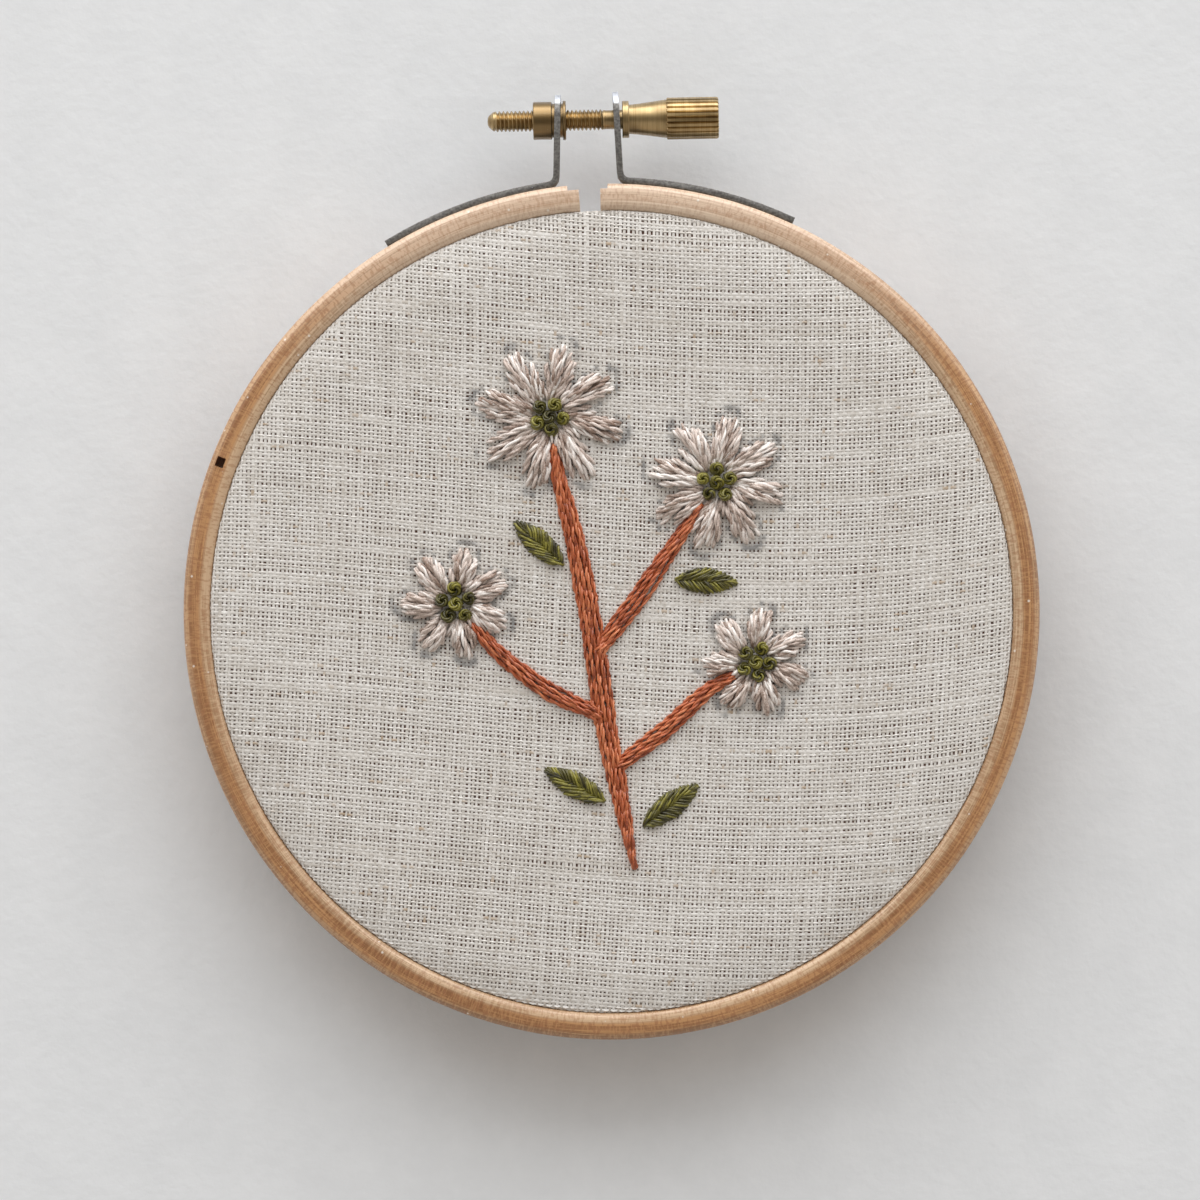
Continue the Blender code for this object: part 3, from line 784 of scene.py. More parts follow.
# %% The crossings
SEED = 20
BOW = (-0.080, 0.00117, 0.0000206)
LEAN = (0.034, -0.00042)
DRIFT_LENGTH = 9.0
warp_count = 2 * math.ceil(WOVEN_REACH / WARP_PITCH) + 1
weft_count = 2 * math.ceil((WOVEN_REACH + 4.6 * MM) / WEFT_PITCH) + 1
warp_index = np.arange(warp_count) - warp_count // 2
weft_index = np.arange(weft_count) - weft_count // 2
rng = np.random.default_rng(SEED)
shape = (warp_count, weft_count)


def bow(x):
    """How far the weft rows rise or drop at this place across the cloth, in metres."""
    across = x / MM
    return (BOW[0] * across + BOW[1] * across**2 + BOW[2] * across**3) * MM


def lean(y):
    """How far the warp threads lean sideways at this height up the cloth, in metres."""
    up = y / MM
    return (LEAN[0] * up + LEAN[1] * up**2) * MM


def for_each_thread(axis):
    """A random number about 0 for each thread that runs along this axis of the table."""
    own_shape = [1, 1]
    own_shape[1 - axis] = shape[1 - axis]
    return rng.standard_normal(own_shape)


def wandering(axis, steady, slow, jitter):
    """Sideways shifts of a set of threads: each thread's own, slow drifts along it, and small jumps."""
    own = for_each_thread(axis) * steady
    drift = smooth_random(rng, shape, axis, DRIFT_LENGTH) * slow
    return (own + drift + rng.standard_normal(shape) * jitter) * MM


grid_x = np.repeat(warp_index[:, None] * WARP_PITCH, weft_count, axis=1)
grid_y = weft_index[None, :] * WEFT_PITCH + bow(grid_x)
grid_x = grid_x + lean(grid_y)
grid_x = grid_x + wandering(axis=1, steady=0.010, slow=0.040, jitter=0.026)
grid_y = grid_y + wandering(axis=0, steady=0.022, slow=0.042, jitter=0.026)
over = (warp_index[:, None] + weft_index[None, :]) % 2 * 2.0 - 1.0
crossing_r = np.hypot(grid_x, grid_y)
print("crossings on the cloth:", int((crossing_r < WOVEN_REACH).sum()))

# %% Thickness, slubs and colour of the threads
THREAD_HALF = 0.172 * MM
SLUB_LENGTH = 3.0
THINNEST = 0.66
THICKEST = 1.75
TONE_SPREAD = 0.32


def slubs(axis, count, size):
    """Short thick places at random along the threads."""
    bumps = np.zeros(shape)
    for _ in range(count):
        thread = rng.integers(shape[1 - axis])
        at = rng.integers(shape[axis])
        steps = np.arange(shape[axis]) - at
        swell = size * rng.uniform(0.5, 1.3)
        reach = SLUB_LENGTH * rng.uniform(0.5, 1.5)
        bump = swell * np.exp(-0.5 * (steps / reach) ** 2)
        if axis == 0:
            bumps[:, thread] += bump
        else:
            bumps[thread, :] += bump
    return bumps


def thickness(axis, steady, slow, count, size):
    """How thick the threads are at each crossing: each thread's own, slow changes, and slubs."""
    own = steady * for_each_thread(axis)
    drift = slow * smooth_random(rng, shape, axis, SLUB_LENGTH)
    return np.clip(1 + own + drift + slubs(axis, count, size), THINNEST, THICKEST)


def tones(axis, steady):
    """How pale the threads are at each crossing, about 0.5: each thread's own, slow and quick changes."""
    own = steady * for_each_thread(axis)
    slow = 0.24 * smooth_random(rng, shape, axis, 5.0)
    return 0.5 + TONE_SPREAD * (own + slow + 0.36 * rng.standard_normal(shape))


def specks(axis, count, length):
    """Scattered marks along a set of threads, up to 1 where a mark is and 0 elsewhere."""
    marks = np.zeros(shape)
    for _ in range(count):
        place = [rng.integers(shape[0]), rng.integers(shape[1])]
        strength = rng.uniform(0.25, 1.0)
        for _ in range(rng.integers(1, length + 1)):
            marks[tuple(place)] = strength * rng.uniform(0.7, 1.0)
            place[axis] = min(place[axis] + 1, shape[axis] - 1)
    return marks


warp_half = THREAD_HALF * thickness(axis=1, steady=0.012, slow=0.08, count=200, size=0.34)
weft_half = THREAD_HALF * thickness(axis=0, steady=0.078, slow=0.10, count=520, size=0.42)

# %% [markdown]
# The sprig was drawn on the cloth with a soft pencil before it was stitched, and a little of the line
# still shows round the petals. It is kept as a value on the threads near each flower's outline.

# %% Flowers, and the pencil line round them
FLOWERS = {
    "daisy_top": (-8.0, 25.0, 10.0, 8, -80.0),
    "daisy_right": (13.5, 16.5, 9.4, 8, -125.0),
    "daisy_left": (-20.0, 1.0, 7.6, 7, -50.0),
    "daisy_low": (18.5, -6.5, 7.4, 7, -150.0),
}
EYE_R = 2.6 * MM
NOTCH = 0.18
BLUNTNESS = 2.4
PENCIL_OUTSIDE = 0.25 * MM
PENCIL_WIDTH = 0.40 * MM


def petal_reach(angle, reach, petals, stem_side):
    """How far the flower's outline is from its middle, in this direction."""
    sector = 2 * np.pi / petals
    off = np.abs((angle - stem_side) % sector / sector - 0.5) * 2
    return EYE_R + (reach - EYE_R) * (NOTCH + (1 - NOTCH) * (1 - off**BLUNTNESS))


pencil = np.zeros(shape)
patches = smooth_random(rng, shape, 0, 5.0) + smooth_random(rng, shape, 1, 5.0)
for x, y, reach, petals, stem_side in FLOWERS.values():
    away_x = grid_x - x * MM
    away_y = grid_y - y * MM
    outline = petal_reach(np.arctan2(away_y, away_x), reach * MM, petals, math.radians(stem_side))
    gap = np.hypot(away_x, away_y) - outline - PENCIL_OUTSIDE
    line = np.exp(-0.5 * (gap / PENCIL_WIDTH) ** 2) * np.clip(0.60 + 0.55 * patches, 0.0, 1.0)
    pencil = np.maximum(pencil, line)
print("pencil marks on", int((pencil > 0.3).sum()), "crossings")

# %% Weave the cloth
CROWN = 0.135 * MM
RISE = 0.055 * MM
BEAD = 0.04
SIDES = 3


def folded(flat_x, flat_y, height):
    """Lays a flat point on the drum: flat, round the fold, then down the skirt."""
    far = np.hypot(flat_x, flat_y)
    fold_r = THREAD_MID - FOLD_CENTRE_Z
    bend = np.clip((far - FOLD_START) / fold_r, 0.0, np.pi / 2)
    down = np.maximum(far - FOLD_START - fold_r * np.pi / 2, 0.0)
    out = np.minimum(far, FOLD_START) + (fold_r + height) * np.sin(bend)
    z = FOLD_CENTRE_Z + (fold_r + height) * np.cos(bend) - down - sag(far) * np.cos(bend)
    scale = out / np.maximum(far, WELD)
    return np.stack([flat_x * scale, flat_y * scale, z], axis=1)


def woven(name, axis, half, lift, tone, marks):
    """All threads that run along one axis of the table of crossings."""
    along = shape[axis]
    threads = shape[1 - axis]
    mesh, thread, side, ring = tube_grid(name, threads, SIDES, along)
    cell = (thread, ring) if axis == 1 else (ring, thread)
    swell = 1 + BEAD * np.sign(lift[cell])
    sideways = np.array([-1.0, 0.0, 1.0, -1.0])[side] * half[cell] * swell
    height = np.array([0.0, 1.0, 0.0, 0.0])[side] * CROWN * swell + lift[cell]
    flat_x = grid_x[cell] + (sideways if axis == 1 else 0.0)
    flat_y = grid_y[cell] + (sideways if axis == 0 else 0.0)
    attributes = {"tone": tone[cell]}
    attributes.update({key: values[cell] for key, values in marks.items()})
    dropped = crossing_r[cell] > WOVEN_REACH
    return close_tubes(mesh, folded(flat_x, flat_y, height), attributes, dropped)


# %% [markdown]
# Linen thread is pale and slightly uneven in colour, with bits of husk in it and white nubs of
# cotton. Its shader reads those from the threads' own values, and adds fine fibres by noise.

# %% Linen thread
THREAD_GREY = colour(0.56, 0.518, 0.468)
THREAD_PALE = colour(0.82, 0.802, 0.777)
HUSK_BROWN = colour(0.42, 0.28, 0.15)
NUB_WHITE = colour(0.93, 0.92, 0.90)
PENCIL_GREY = colour(0.17, 0.17, 0.175)
HUSK_SHARE = 0.75
PENCIL_SHARE = 0.80
linen, tree, shader = new_material("linen_thread")
place = object_place(tree)
tone = along_thread(tree, "tone")
fibres = noise(tree, place, 5200.0, 2.0)
drift = noise(tree, place, 60.0, 3.0)
share = plus(tree, times(tree, tone, 0.55), times(tree, fibres, 0.30))
share = plus(tree, share, times(tree, drift, 0.15))
thread_colour = mixed(tree, mask(tree, share, 0.15, 0.72), THREAD_GREY, THREAD_PALE)
husk = times(tree, along_thread(tree, "husk"), HUSK_SHARE)
thread_colour = mixed(tree, husk, thread_colour, HUSK_BROWN)
thread_colour = mixed(tree, along_thread(tree, "nub"), thread_colour, NUB_WHITE)
pencilled = times(tree, along_thread(tree, "pencil"), PENCIL_SHARE)
thread_colour = mixed(tree, pencilled, thread_colour, PENCIL_GREY)
connect(tree, shader, base_color=thread_colour, normal=bumped(tree, fibres, 0.03 * MM, 0.5))
shader.inputs["Roughness"].default_value = 0.85
shader.inputs["Specular IOR Level"].default_value = 0.15
shader.inputs["Sheen Weight"].default_value = 0.15

# %% Warp and weft
marks = {"husk": specks(1, 300, 2), "nub": specks(1, 60, 1), "pencil": pencil}
warp_mesh = woven("warp_threads", 1, warp_half, RISE * over, tones(1, 0.10), marks)
warp = finish_piece("warp_threads", warp_mesh, linen, "hoop", ["cloth"], smooth=THREAD_ANGLE)
marks = {"husk": specks(0, 520, 3), "nub": specks(0, 120, 2), "pencil": pencil}
weft_mesh = woven("weft_threads", 0, weft_half, -RISE * over, tones(0, 0.22), marks)
weft = finish_piece("weft_threads", weft_mesh, linen, "hoop", ["cloth"], smooth=THREAD_ANGLE)

# %% [markdown]
# The two brackets are strips of blackened steel, a strap on the hoop bent up into an ear with a hole.
# The plain solids have the right shape, so each is copied, its flat faces are joined up again and its
# edges get a small bevel, as sheared and tumbled steel has. The strap is drawn in to touch the wood.

# %% Shared wear
wear_inputs = {"Place": "Vector", "Size": "Float", "Amount": "Float"}
group_wear, start, end = new_group("rubbed_spots", wear_inputs, {"Mask": "Float", "Smudge": "Float"})
sized = {0: start["Place"], "Scale": start["Size"]}
scaled = add(group_wear, "VectorMath", sized, operation="SCALE").outputs[0]
patchy = noise(group_wear, scaled, 1.0, 4.0, 0.65)
edge = minus(group_wear, 0.86, times(group_wear, start["Amount"], 0.30))
worn = times(group_wear, minus(group_wear, patchy, edge), 18.0)
group_wear.links.new(add(group_wear, "Clamp", {"Value": worn}).outputs[0], end["Mask"])
group_wear.links.new(noise(group_wear, scaled, 0.22, 2.0), end["Smudge"])

# %% Blackened steel
STEEL_DARK = colour(0.165, 0.16, 0.155)
STEEL_GREY = colour(0.32, 0.315, 0.30)
OIL_BROWN = colour(0.09, 0.075, 0.068)
# Pale steel for rubbed spots and for the ear's end: at the end partly bare cut metal, partly a painted
# highlight.
BARE_AND_LIT_STEEL = colour(0.66, 0.69, 0.75)
BARE_AND_LIT_START = 1.75 * MM
BARE_AND_LIT_FULL = 1.35 * MM
ear_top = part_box("bracket_right")[1].y
steel, tree, shader = new_material("blackened_steel")
place = object_place(tree)
spots = use_group(tree, group_wear, place=place, size=2600.0, amount=0.62)
brushed = stretched_noise(tree, place, (3000.0, 3000.0, 400.0), 3.0)
metal = mixed(tree, mask(tree, brushed, 0.3, 0.7), STEEL_DARK, STEEL_GREY)
metal = mixed(tree, times(tree, spots["Smudge"], 0.35), metal, OIL_BROWN)
up_table = add(tree, "SeparateXYZ", {0: place}).outputs["Y"]
# Towards the ear's end the steel turns pale: partly bare cut metal, partly a painted highlight on the end
# that faces the light.
bare_and_lit_end = mask(tree, up_table, ear_top - BARE_AND_LIT_START, ear_top - BARE_AND_LIT_FULL)
bare = maths(tree, "MAXIMUM", times(tree, bare_and_lit_end, 0.92), spots["Mask"])
metal = mixed(tree, bare, metal, BARE_AND_LIT_STEEL)
rough = plus(tree, 0.42, times(tree, brushed, 0.20))
connect(tree, shader, base_color=metal, roughness=rough, normal=bumped(tree, brushed, 0.012 * MM, 0.6))
shader.inputs["Metallic"].default_value = 1.0

# %% Brackets
STEEL_BEVEL = 0.07 * MM
FLAT_ANGLE = math.radians(1.0)
CORNER_ANGLE = math.radians(40.0)
SEAT_GAP = 0.17 * MM
STRAP_REACH = 56.2 * MM
BEND_REACH = 57.4 * MM
for name in ("bracket_left", "bracket_right"):
    bm = bmesh.new()
    bm.from_mesh(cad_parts[name].data)
    bmesh.ops.remove_doubles(bm, verts=bm.verts, dist=WELD)
    bmesh.ops.dissolve_limit(bm, angle_limit=FLAT_ANGLE, verts=bm.verts, edges=bm.edges)
    sharp = [e for e in bm.edges if len(e.link_faces) == 2 and e.calc_face_angle(0.0) > CORNER_ANGLE]
    bmesh.ops.bevel(
        bm, geom=sharp, offset=STEEL_BEVEL, affect="EDGES", segments=2, profile=0.5, material=-1
    )
    for vert in bm.verts:
        out = vert.co.xy - HUB.xy
        share = min(max((BEND_REACH - out.length) / (BEND_REACH - STRAP_REACH), 0.0), 1.0)
        vert.co.xy -= out.normalized() * SEAT_GAP * share
    finish_piece(name + "_steel", mesh_of(bm, name), steel, "hoop", [name], moved=False)

# %% [markdown]
# The screw and the nut are turned brass. Both are made along Z as on a lathe, then laid along the
# screw's axis. Brass in a pale room needs something dark to reflect, little grooves from the cutting
# tool, and a brown film where fingers don't rub it off.

# %% Brass
SCREW_Y = 63.36 * MM
SCREW_TILT = math.radians(1.02)
SCREW_PLACE = (
    Matrix.Translation((0.0, SCREW_Y, RING_TOP / 2))
    @ Matrix.Rotation(SCREW_TILT, 4, "Z")
    @ Matrix.Rotation(math.pi / 2, 4, "Y")
)
RING_SCALE = (9000.0, 120.0, 120.0)
BRASS_DARK = colour(0.355, 0.24, 0.10)
BRASS_PALE = colour(0.58, 0.43, 0.215)
FILM_BROWN = colour(0.21, 0.13, 0.045)
RUBBED_BRASS = colour(0.92, 0.80, 0.55)


def brass_material(name, ring_depth, tarnish):
    """Turned brass: fine rings across the axis, darker film in patches, under a thin lacquer."""
    made, tree, shader = new_material(name)
    place = object_place(tree)
    rings = stretched_noise(tree, place, RING_SCALE, 3.0, 0.7)
    spots = use_group(tree, group_wear, place=place, size=1500.0, amount=0.5)
    metal = mixed(tree, mask(tree, rings, 0.3, 0.7), BRASS_DARK, BRASS_PALE)
    film = times(tree, mask(tree, spots["Smudge"], 0.40, 0.66), 0.60)
    metal = mixed(tree, maths(tree, "MAXIMUM", film, tarnish), metal, FILM_BROWN)
    metal = mixed(tree, times(tree, spots["Mask"], 0.6), metal, RUBBED_BRASS)
    rough = plus(tree, 0.24, times(tree, spots["Smudge"], 0.20))
    connect(tree, shader, base_color=metal, roughness=rough, normal=bumped(tree, rings, ring_depth, 0.7))
    shader.inputs["Metallic"].default_value = 1.0
    shader.inputs["Coat Weight"].default_value = 0.8
    shader.inputs["Coat Roughness"].default_value = 0.16
    return made


brass = brass_material("turned_brass", 0.014 * MM, 0.0)
nut_brass = brass_material("tarnished_brass", 0.012 * MM, 0.88)

# %% Barrel nut
def in_metres(rows):
    """Rows of radius and place along the screw, from millimetres to metres."""
    return [(radius * MM, along * MM) for radius, along in rows]


NUT_SECTION = (
    (1.38, -10.05),
    (2.10, -10.10),
    (2.36, -10.10),
    (2.45, -10.00),
    (2.45, -7.78),
    (2.36, -7.68),
    (2.20, -7.66),
    (2.20, -6.26),
    (2.50, -6.26),
    (2.55, -6.18),
    (2.55, -5.96),
    (2.46, -5.86),
    (1.38, -5.90),
)
bm = turned(in_metres(NUT_SECTION), 72, closed=True)
bmesh.ops.transform(bm, matrix=SCREW_PLACE, verts=bm.verts)
finish_piece("barrel_nut_turned", mesh_of(bm, "nut"), nut_brass, "hoop", ["barrel_nut"])

# %% [markdown]
# The thread is a ridge that climbs half a millimetre each turn. The shaft is turned with a ring every
# small part of that pitch, and then each point's radius follows the helix through its own angle. The
# ridge fades out into the tip and the shank. The knob is a second turned part, with its flutes cut in
# the same way by a formula in the angle.

# %% Thumbscrew shaft
THREAD_PITCH = 0.52 * MM
THREAD_CREST = 1.37 * MM
THREAD_ROOT = 1.03 * MM
THREAD_START = -15.2 * MM
THREAD_END = -0.9 * MM
SHAFT_STEPS = 48
RINGS_PER_TURN = 8
TIP_FLAT = 0.12 * MM
TIP = ((0.0, -15.98), (0.45, -15.95), (0.75, -15.80), (1.05, -15.45))
SHANK = ((1.22, -0.75), (1.25, 1.38))
COLLAR = ((2.32, 1.38), (2.40, 1.46), (2.40, 2.17), (2.32, 2.25), (1.92, 2.26), (1.90, 2.40))
CONE_STEPS = 10
CONE_END = ((2.30, 7.40), (0.0, 7.40))


def cone_point(share):
    """Radius and place along the cone, in millimetres: it widens a little faster towards the knob."""
    return (1.90 + 0.60 * share**1.15, 2.40 + 4.62 * share)


rings = round((THREAD_END - THREAD_START) / THREAD_PITCH * RINGS_PER_TURN)
thread_rows = [
    (THREAD_CREST, THREAD_START + (THREAD_END - THREAD_START) * i / rings) for i in range(rings + 1)
]
cone = tuple(cone_point(i / CONE_STEPS) for i in range(1, CONE_STEPS + 1))
bm = turned(in_metres(TIP) + thread_rows + in_metres(SHANK + COLLAR + cone + CONE_END), SHAFT_STEPS)
for vert in bm.verts:
    along = vert.co.z
    if not THREAD_START - WELD < along < THREAD_END + WELD:
        continue
    phase = along / THREAD_PITCH - math.atan2(vert.co.y, vert.co.x) / (2 * math.pi)
    ridge = (0.5 + 0.5 * math.cos(2 * math.pi * phase)) ** 0.75
    fade = min((along - THREAD_START) / THREAD_PITCH, (THREAD_END - along) / THREAD_PITCH, 1.0)
    root = THREAD_CREST + (THREAD_ROOT - THREAD_CREST) * max(fade, 0.0)
    radius = root + (THREAD_CREST - root) * ridge - TIP_FLAT * (1 - max(fade, 0.0))
    vert.co.xy = vert.co.xy.normalized() * radius
shaft_mesh = mesh_of(bm, "screw_shaft")

# %% Fluted knob
KNOB_R = 2.70 * MM
FLUTES = 24
FLUTE_DEPTH = 0.30 * MM
FLUTES_FROM_R = 2.3 * MM
KNOB_START = ((0.0, 7.12), (2.38, 7.12), (2.62, 7.12), (2.70, 7.24), (2.70, 9.2))
KNOB_END = ((2.70, 11.4), (2.70, 13.5), (2.62, 13.74), (2.45, 13.80), (1.2, 13.80), (0.0, 13.80))
bm = turned(in_metres(KNOB_START + KNOB_END), 8 * FLUTES)
for vert in bm.verts:
    radius = vert.co.xy.length
    if radius < FLUTES_FROM_R:
        continue
    angle = math.atan2(vert.co.y, vert.co.x)
    groove = max(0.0, (math.cos(FLUTES * angle) - 0.1) / 0.9) ** 1.2
    shallow = min(radius / KNOB_R, 1.0) ** 6
    vert.co.xy *= 1 - FLUTE_DEPTH * groove * shallow / radius
knob_mesh = mesh_of(bm, "screw_knob")
bm = bmesh.new()
bm.from_mesh(shaft_mesh)
bm.from_mesh(knob_mesh)
bmesh.ops.transform(bm, matrix=SCREW_PLACE, verts=bm.verts)
screw_mesh = mesh_of(bm, "thumb_screw")
finish_piece("thumb_screw_turned", screw_mesh, brass, "screw", ["thumb_screw"])

# %% [markdown]
# A stitch is a short length of stranded cotton that comes up through the cloth and goes down again.
# Each is two or three strands that wind round each other. A function takes the middle lines of many
# stitches, works out the strands, and hands them to the tube grid in one go.

# %% Strands of stitches
STITCH_RINGS = 22
STRAND_SIDES = 5
END_SHARE = 0.12
DIP = 0.30 * MM
CLOTH_FACE = CLOTH_TOP - 0.02 * MM


def stitch_lines(stitches, rings):
    """Middle lines of straight stitches: rows of start x, y, end x, y, lift, sideways bow, turns."""
    table = np.array(stitches)
    t = np.linspace(0.0, 1.0, rings)
    t = t - 0.06 * np.sin(2 * np.pi * t)
    start, stop = table[:, 0:2], table[:, 2:4]
    chord = stop - start
    length = np.hypot(chord[:, 0], chord[:, 1])
    side = np.stack([-chord[:, 1], chord[:, 0]], axis=1) / length[:, None]
    flat = start[:, None, :] + chord[:, None, :] * t[None, :, None]
    flat = flat + side[:, None, :] * (table[:, 5:6] * np.sin(np.pi * t)[None, :])[:, :, None]
    arch = np.sin(np.pi * t) ** 0.42
    rise = -DIP + (table[:, 4:5] + DIP) * arch[None, :]
    lines = np.concatenate([flat, (CLOTH_FACE + rise)[:, :, None]], axis=2)
    sides = np.repeat(np.pad(side, ((0, 0), (0, 1)))[:, None, :], rings, axis=1)
    turns = table[:, 6:7] * t[None, :]
    return lines, sides, turns


def strand_tubes(name, lines, sides, turns, rng, strands, spread, strand_r):
    """Winds strands round the middle lines and makes them tubes, with values for their colour."""
    count, rings, _ = lines.shape
    tangent = np.gradient(lines, axis=1)
    tangent /= np.linalg.norm(tangent, axis=2, keepdims=True)
    normal = np.cross(tangent, sides)
    normal /= np.linalg.norm(normal, axis=2, keepdims=True)
    normal *= np.sign(normal[:, rings // 2, 2])[:, None, None]
    phase = rng.uniform(0, 2 * np.pi, count)[:, None] + 2 * np.pi * turns
    way = np.linspace(0.0, 1.0, rings)
    taper = 0.35 + 0.65 * np.clip(np.minimum(way, 1 - way) / END_SHARE, 0.0, 1.0) ** 0.7
    centres, radii = [], []
    for strand in range(strands):
        angle = phase + 2 * np.pi * strand / strands
        loose = spread * (1 + 0.10 * rng.standard_normal((count, 1)))
        across = np.cos(angle)[:, :, None] * sides + np.sin(angle)[:, :, None] * normal
        centres.append(lines + across * (loose * taper[None, :])[:, :, None])
        thick = strand_r * (1 + 0.07 * rng.standard_normal((count, 1)))
        radii.append(thick * taper**0.5 * (1 + 0.05 * rng.standard_normal((count, rings))))
    centre = np.concatenate(centres)
    radius = np.concatenate(radii)
    side_all = np.concatenate([sides] * strands)
    normal_all = np.concatenate([normal] * strands)
    tubes = centre.shape[0]
    mesh, tube, column, ring = tube_grid(name, tubes, STRAND_SIDES, rings)
    angle = 2 * np.pi * (column % STRAND_SIDES) / STRAND_SIDES
    out = np.cos(angle)[:, None] * side_all[tube, ring] + np.sin(angle)[:, None] * normal_all[tube, ring]
    points = centre[tube, ring] + out * radius[tube, ring][:, None]
    own = rng.uniform(0.0, 1.0, tubes)
    return close_tubes(mesh, points, {"tone": own[tube]})


# %% Stranded cotton
def floss_material(name, dark, middle, light, sheen):
    """Cotton with a soft gloss: each strand its own shade, fine fibres along it."""
    made, tree, shader = new_material(name)
    place = object_place(tree)
    fibres = noise(tree, place, 4600.0, 3.0, 0.6)
    patchy = noise(tree, place, 700.0, 2.0)
    tone = along_thread(tree, "tone")
    share = plus(tree, times(tree, tone, 0.38), times(tree, fibres, 0.40))
    share = plus(tree, share, times(tree, patchy, 0.22))
    lower = mixed(tree, mask(tree, share, 0.28, 0.48), dark, middle)
    shade = mixed(tree, mask(tree, share, 0.48, 0.70), lower, light)
    connect(tree, shader, base_color=shade, normal=bumped(tree, fibres, 0.03 * MM, 0.6))
    shader.inputs["Roughness"].default_value = 0.38
    shader.inputs["Specular IOR Level"].default_value = 0.7
    shader.inputs["Sheen Weight"].default_value = sheen
    return made


PALE = (colour(0.28, 0.185, 0.14), colour(0.65, 0.55, 0.495), colour(0.93, 0.885, 0.855))
OLIVE = (colour(0.026, 0.021, 0.002), colour(0.090, 0.080, 0.007), colour(0.27, 0.245, 0.033))
RUST = (colour(0.23, 0.042, 0.011), colour(0.48, 0.112, 0.035), colour(0.66, 0.215, 0.088))
pale_floss = floss_material("floss_pale", *PALE, sheen=0.03)
olive_floss = floss_material("floss_olive", *OLIVE, sheen=0.0)
rust_floss = floss_material("floss_rust", *RUST, sheen=0.0)

# %% [markdown]
# A petal is a fan of straight stitches from the flower's eye to its edge, some long and some short,
# with more laid over the first ones. The stitches end just inside the outline that the plain solid
# has too.

# %% Petals
THREAD_TURNS = 0.31
UNDER_EYE = 0.9 * MM
EDGE_GAP = 0.25 * MM
LAYERS = (
    (7, 1.00, 0.36, 0.00, 0.10),
    (6, 0.80, 0.70, 0.16, 0.18),
    (3, 0.45, 1.00, 0.34, 0.30),
)


def petal_stitches(rng, x, y, reach, petals, stem_side):
    """A flower's stitches. A layer is a count, a width, a lift and how much either end may vary."""
    made = []
    sector = 2 * math.pi / petals
    for petal in range(petals):
        axis = stem_side + (petal + 0.5) * sector + rng.normal(0.0, 0.03)
        spread = sector * 0.45
        for count, width, lift, start_share, end_share in LAYERS:
            for place in np.linspace(-1.0, 1.0, count):
                fan = place * width + rng.normal(0.0, 0.08)
                far_angle = axis + fan * spread + rng.normal(0.0, 0.025)
                near_angle = axis + fan * spread * 0.8 + rng.normal(0.0, 0.05)
                edge = petal_reach(far_angle, reach, petals, stem_side)
                span = reach - EYE_R
                far = edge - EDGE_GAP - rng.uniform(0.0, end_share) * span
                nearest = EYE_R - UNDER_EYE + abs(rng.normal(0.0, 0.5)) * MM
                near = nearest + rng.uniform(0.0, start_share) * span
                made.append(
                    (
                        x + near * math.cos(near_angle),
                        y + near * math.sin(near_angle),
                        x + far * math.cos(far_angle),
                        y + far * math.sin(far_angle),
                        lift * MM * rng.uniform(0.85, 1.15),
                        rng.normal(0.0, 0.12) * MM,
                        max(far - near, MM) / MM * THREAD_TURNS * rng.uniform(0.85, 1.15),
                    )
                )
    return made


rng = np.random.default_rng(SEED + 1)
for name, (x, y, reach, petals, stem_side) in FLOWERS.items():
    stitches = petal_stitches(rng, x * MM, y * MM, reach * MM, petals, math.radians(stem_side))
    lines, sides, turns = stitch_lines(stitches, STITCH_RINGS)
    mesh = strand_tubes(name, lines, sides, turns, rng, strands=2, spread=0.165 * MM, strand_r=0.20 * MM)
    node = name + "_petals"
    finish_piece(node + "_stitched", mesh, pale_floss, "hoop", [node], smooth=THREAD_ANGLE)

# %% [markdown]
# A French knot is made by winding the thread twice round the needle before it goes back down, so it
# is a small coil with a dimple. Three strands follow a rising spiral that ends in its own middle.

# %% French knots
KNOT_RINGS = 44
KNOT_TURNS = 2.2
KNOT_TILT = 0.75
KNOT_OUTER = 0.64 * MM
KNOTS_ROUND = 5
KNOT_RING = 1.78 * MM


def knot_lines(rng, places):
    """Middle lines of knots at these places, each of its own size, heading and tilt."""
    t = np.linspace(0.0, 1.0, KNOT_RINGS)
    lines, sides = [], []
    for x, y in places:
        size = rng.uniform(0.88, 1.10)
        squash = rng.uniform(0.85, 1.0)
        heading = rng.uniform(0, 2 * np.pi)
        angle = heading + 2 * np.pi * KNOT_TURNS * t
        radius = KNOT_OUTER * size * (1 - 0.45 * t**3) * np.clip((1 - t) / 0.10, 0.15, 1.0)
        rise = 0.22 + 0.62 * np.sin(0.5 * np.pi * np.clip(t * 1.12, 0, 1)) ** 1.3
        drop = np.clip((t - 0.90) / 0.10, 0.0, 1.0) * 0.75 + np.clip((0.04 - t) / 0.04, 0.0, 1.0) * 0.45
        off_x = radius * np.cos(angle)
        off_y = radius * squash * np.sin(angle)
        tilt_x, tilt_y = rng.uniform(-KNOT_TILT, KNOT_TILT, 2)
        z = CLOTH_FACE + (rise - drop + 0.14) * MM + off_x * tilt_x + off_y * tilt_y
        lines.append(np.stack([x + off_x, y + off_y, z], axis=1))
        sides.append(np.stack([np.cos(angle), np.sin(angle), np.zeros_like(angle)], axis=1))
    turns = np.repeat(3.2 * t[None, :], len(places), axis=0)
    return np.array(lines), np.array(sides), turns


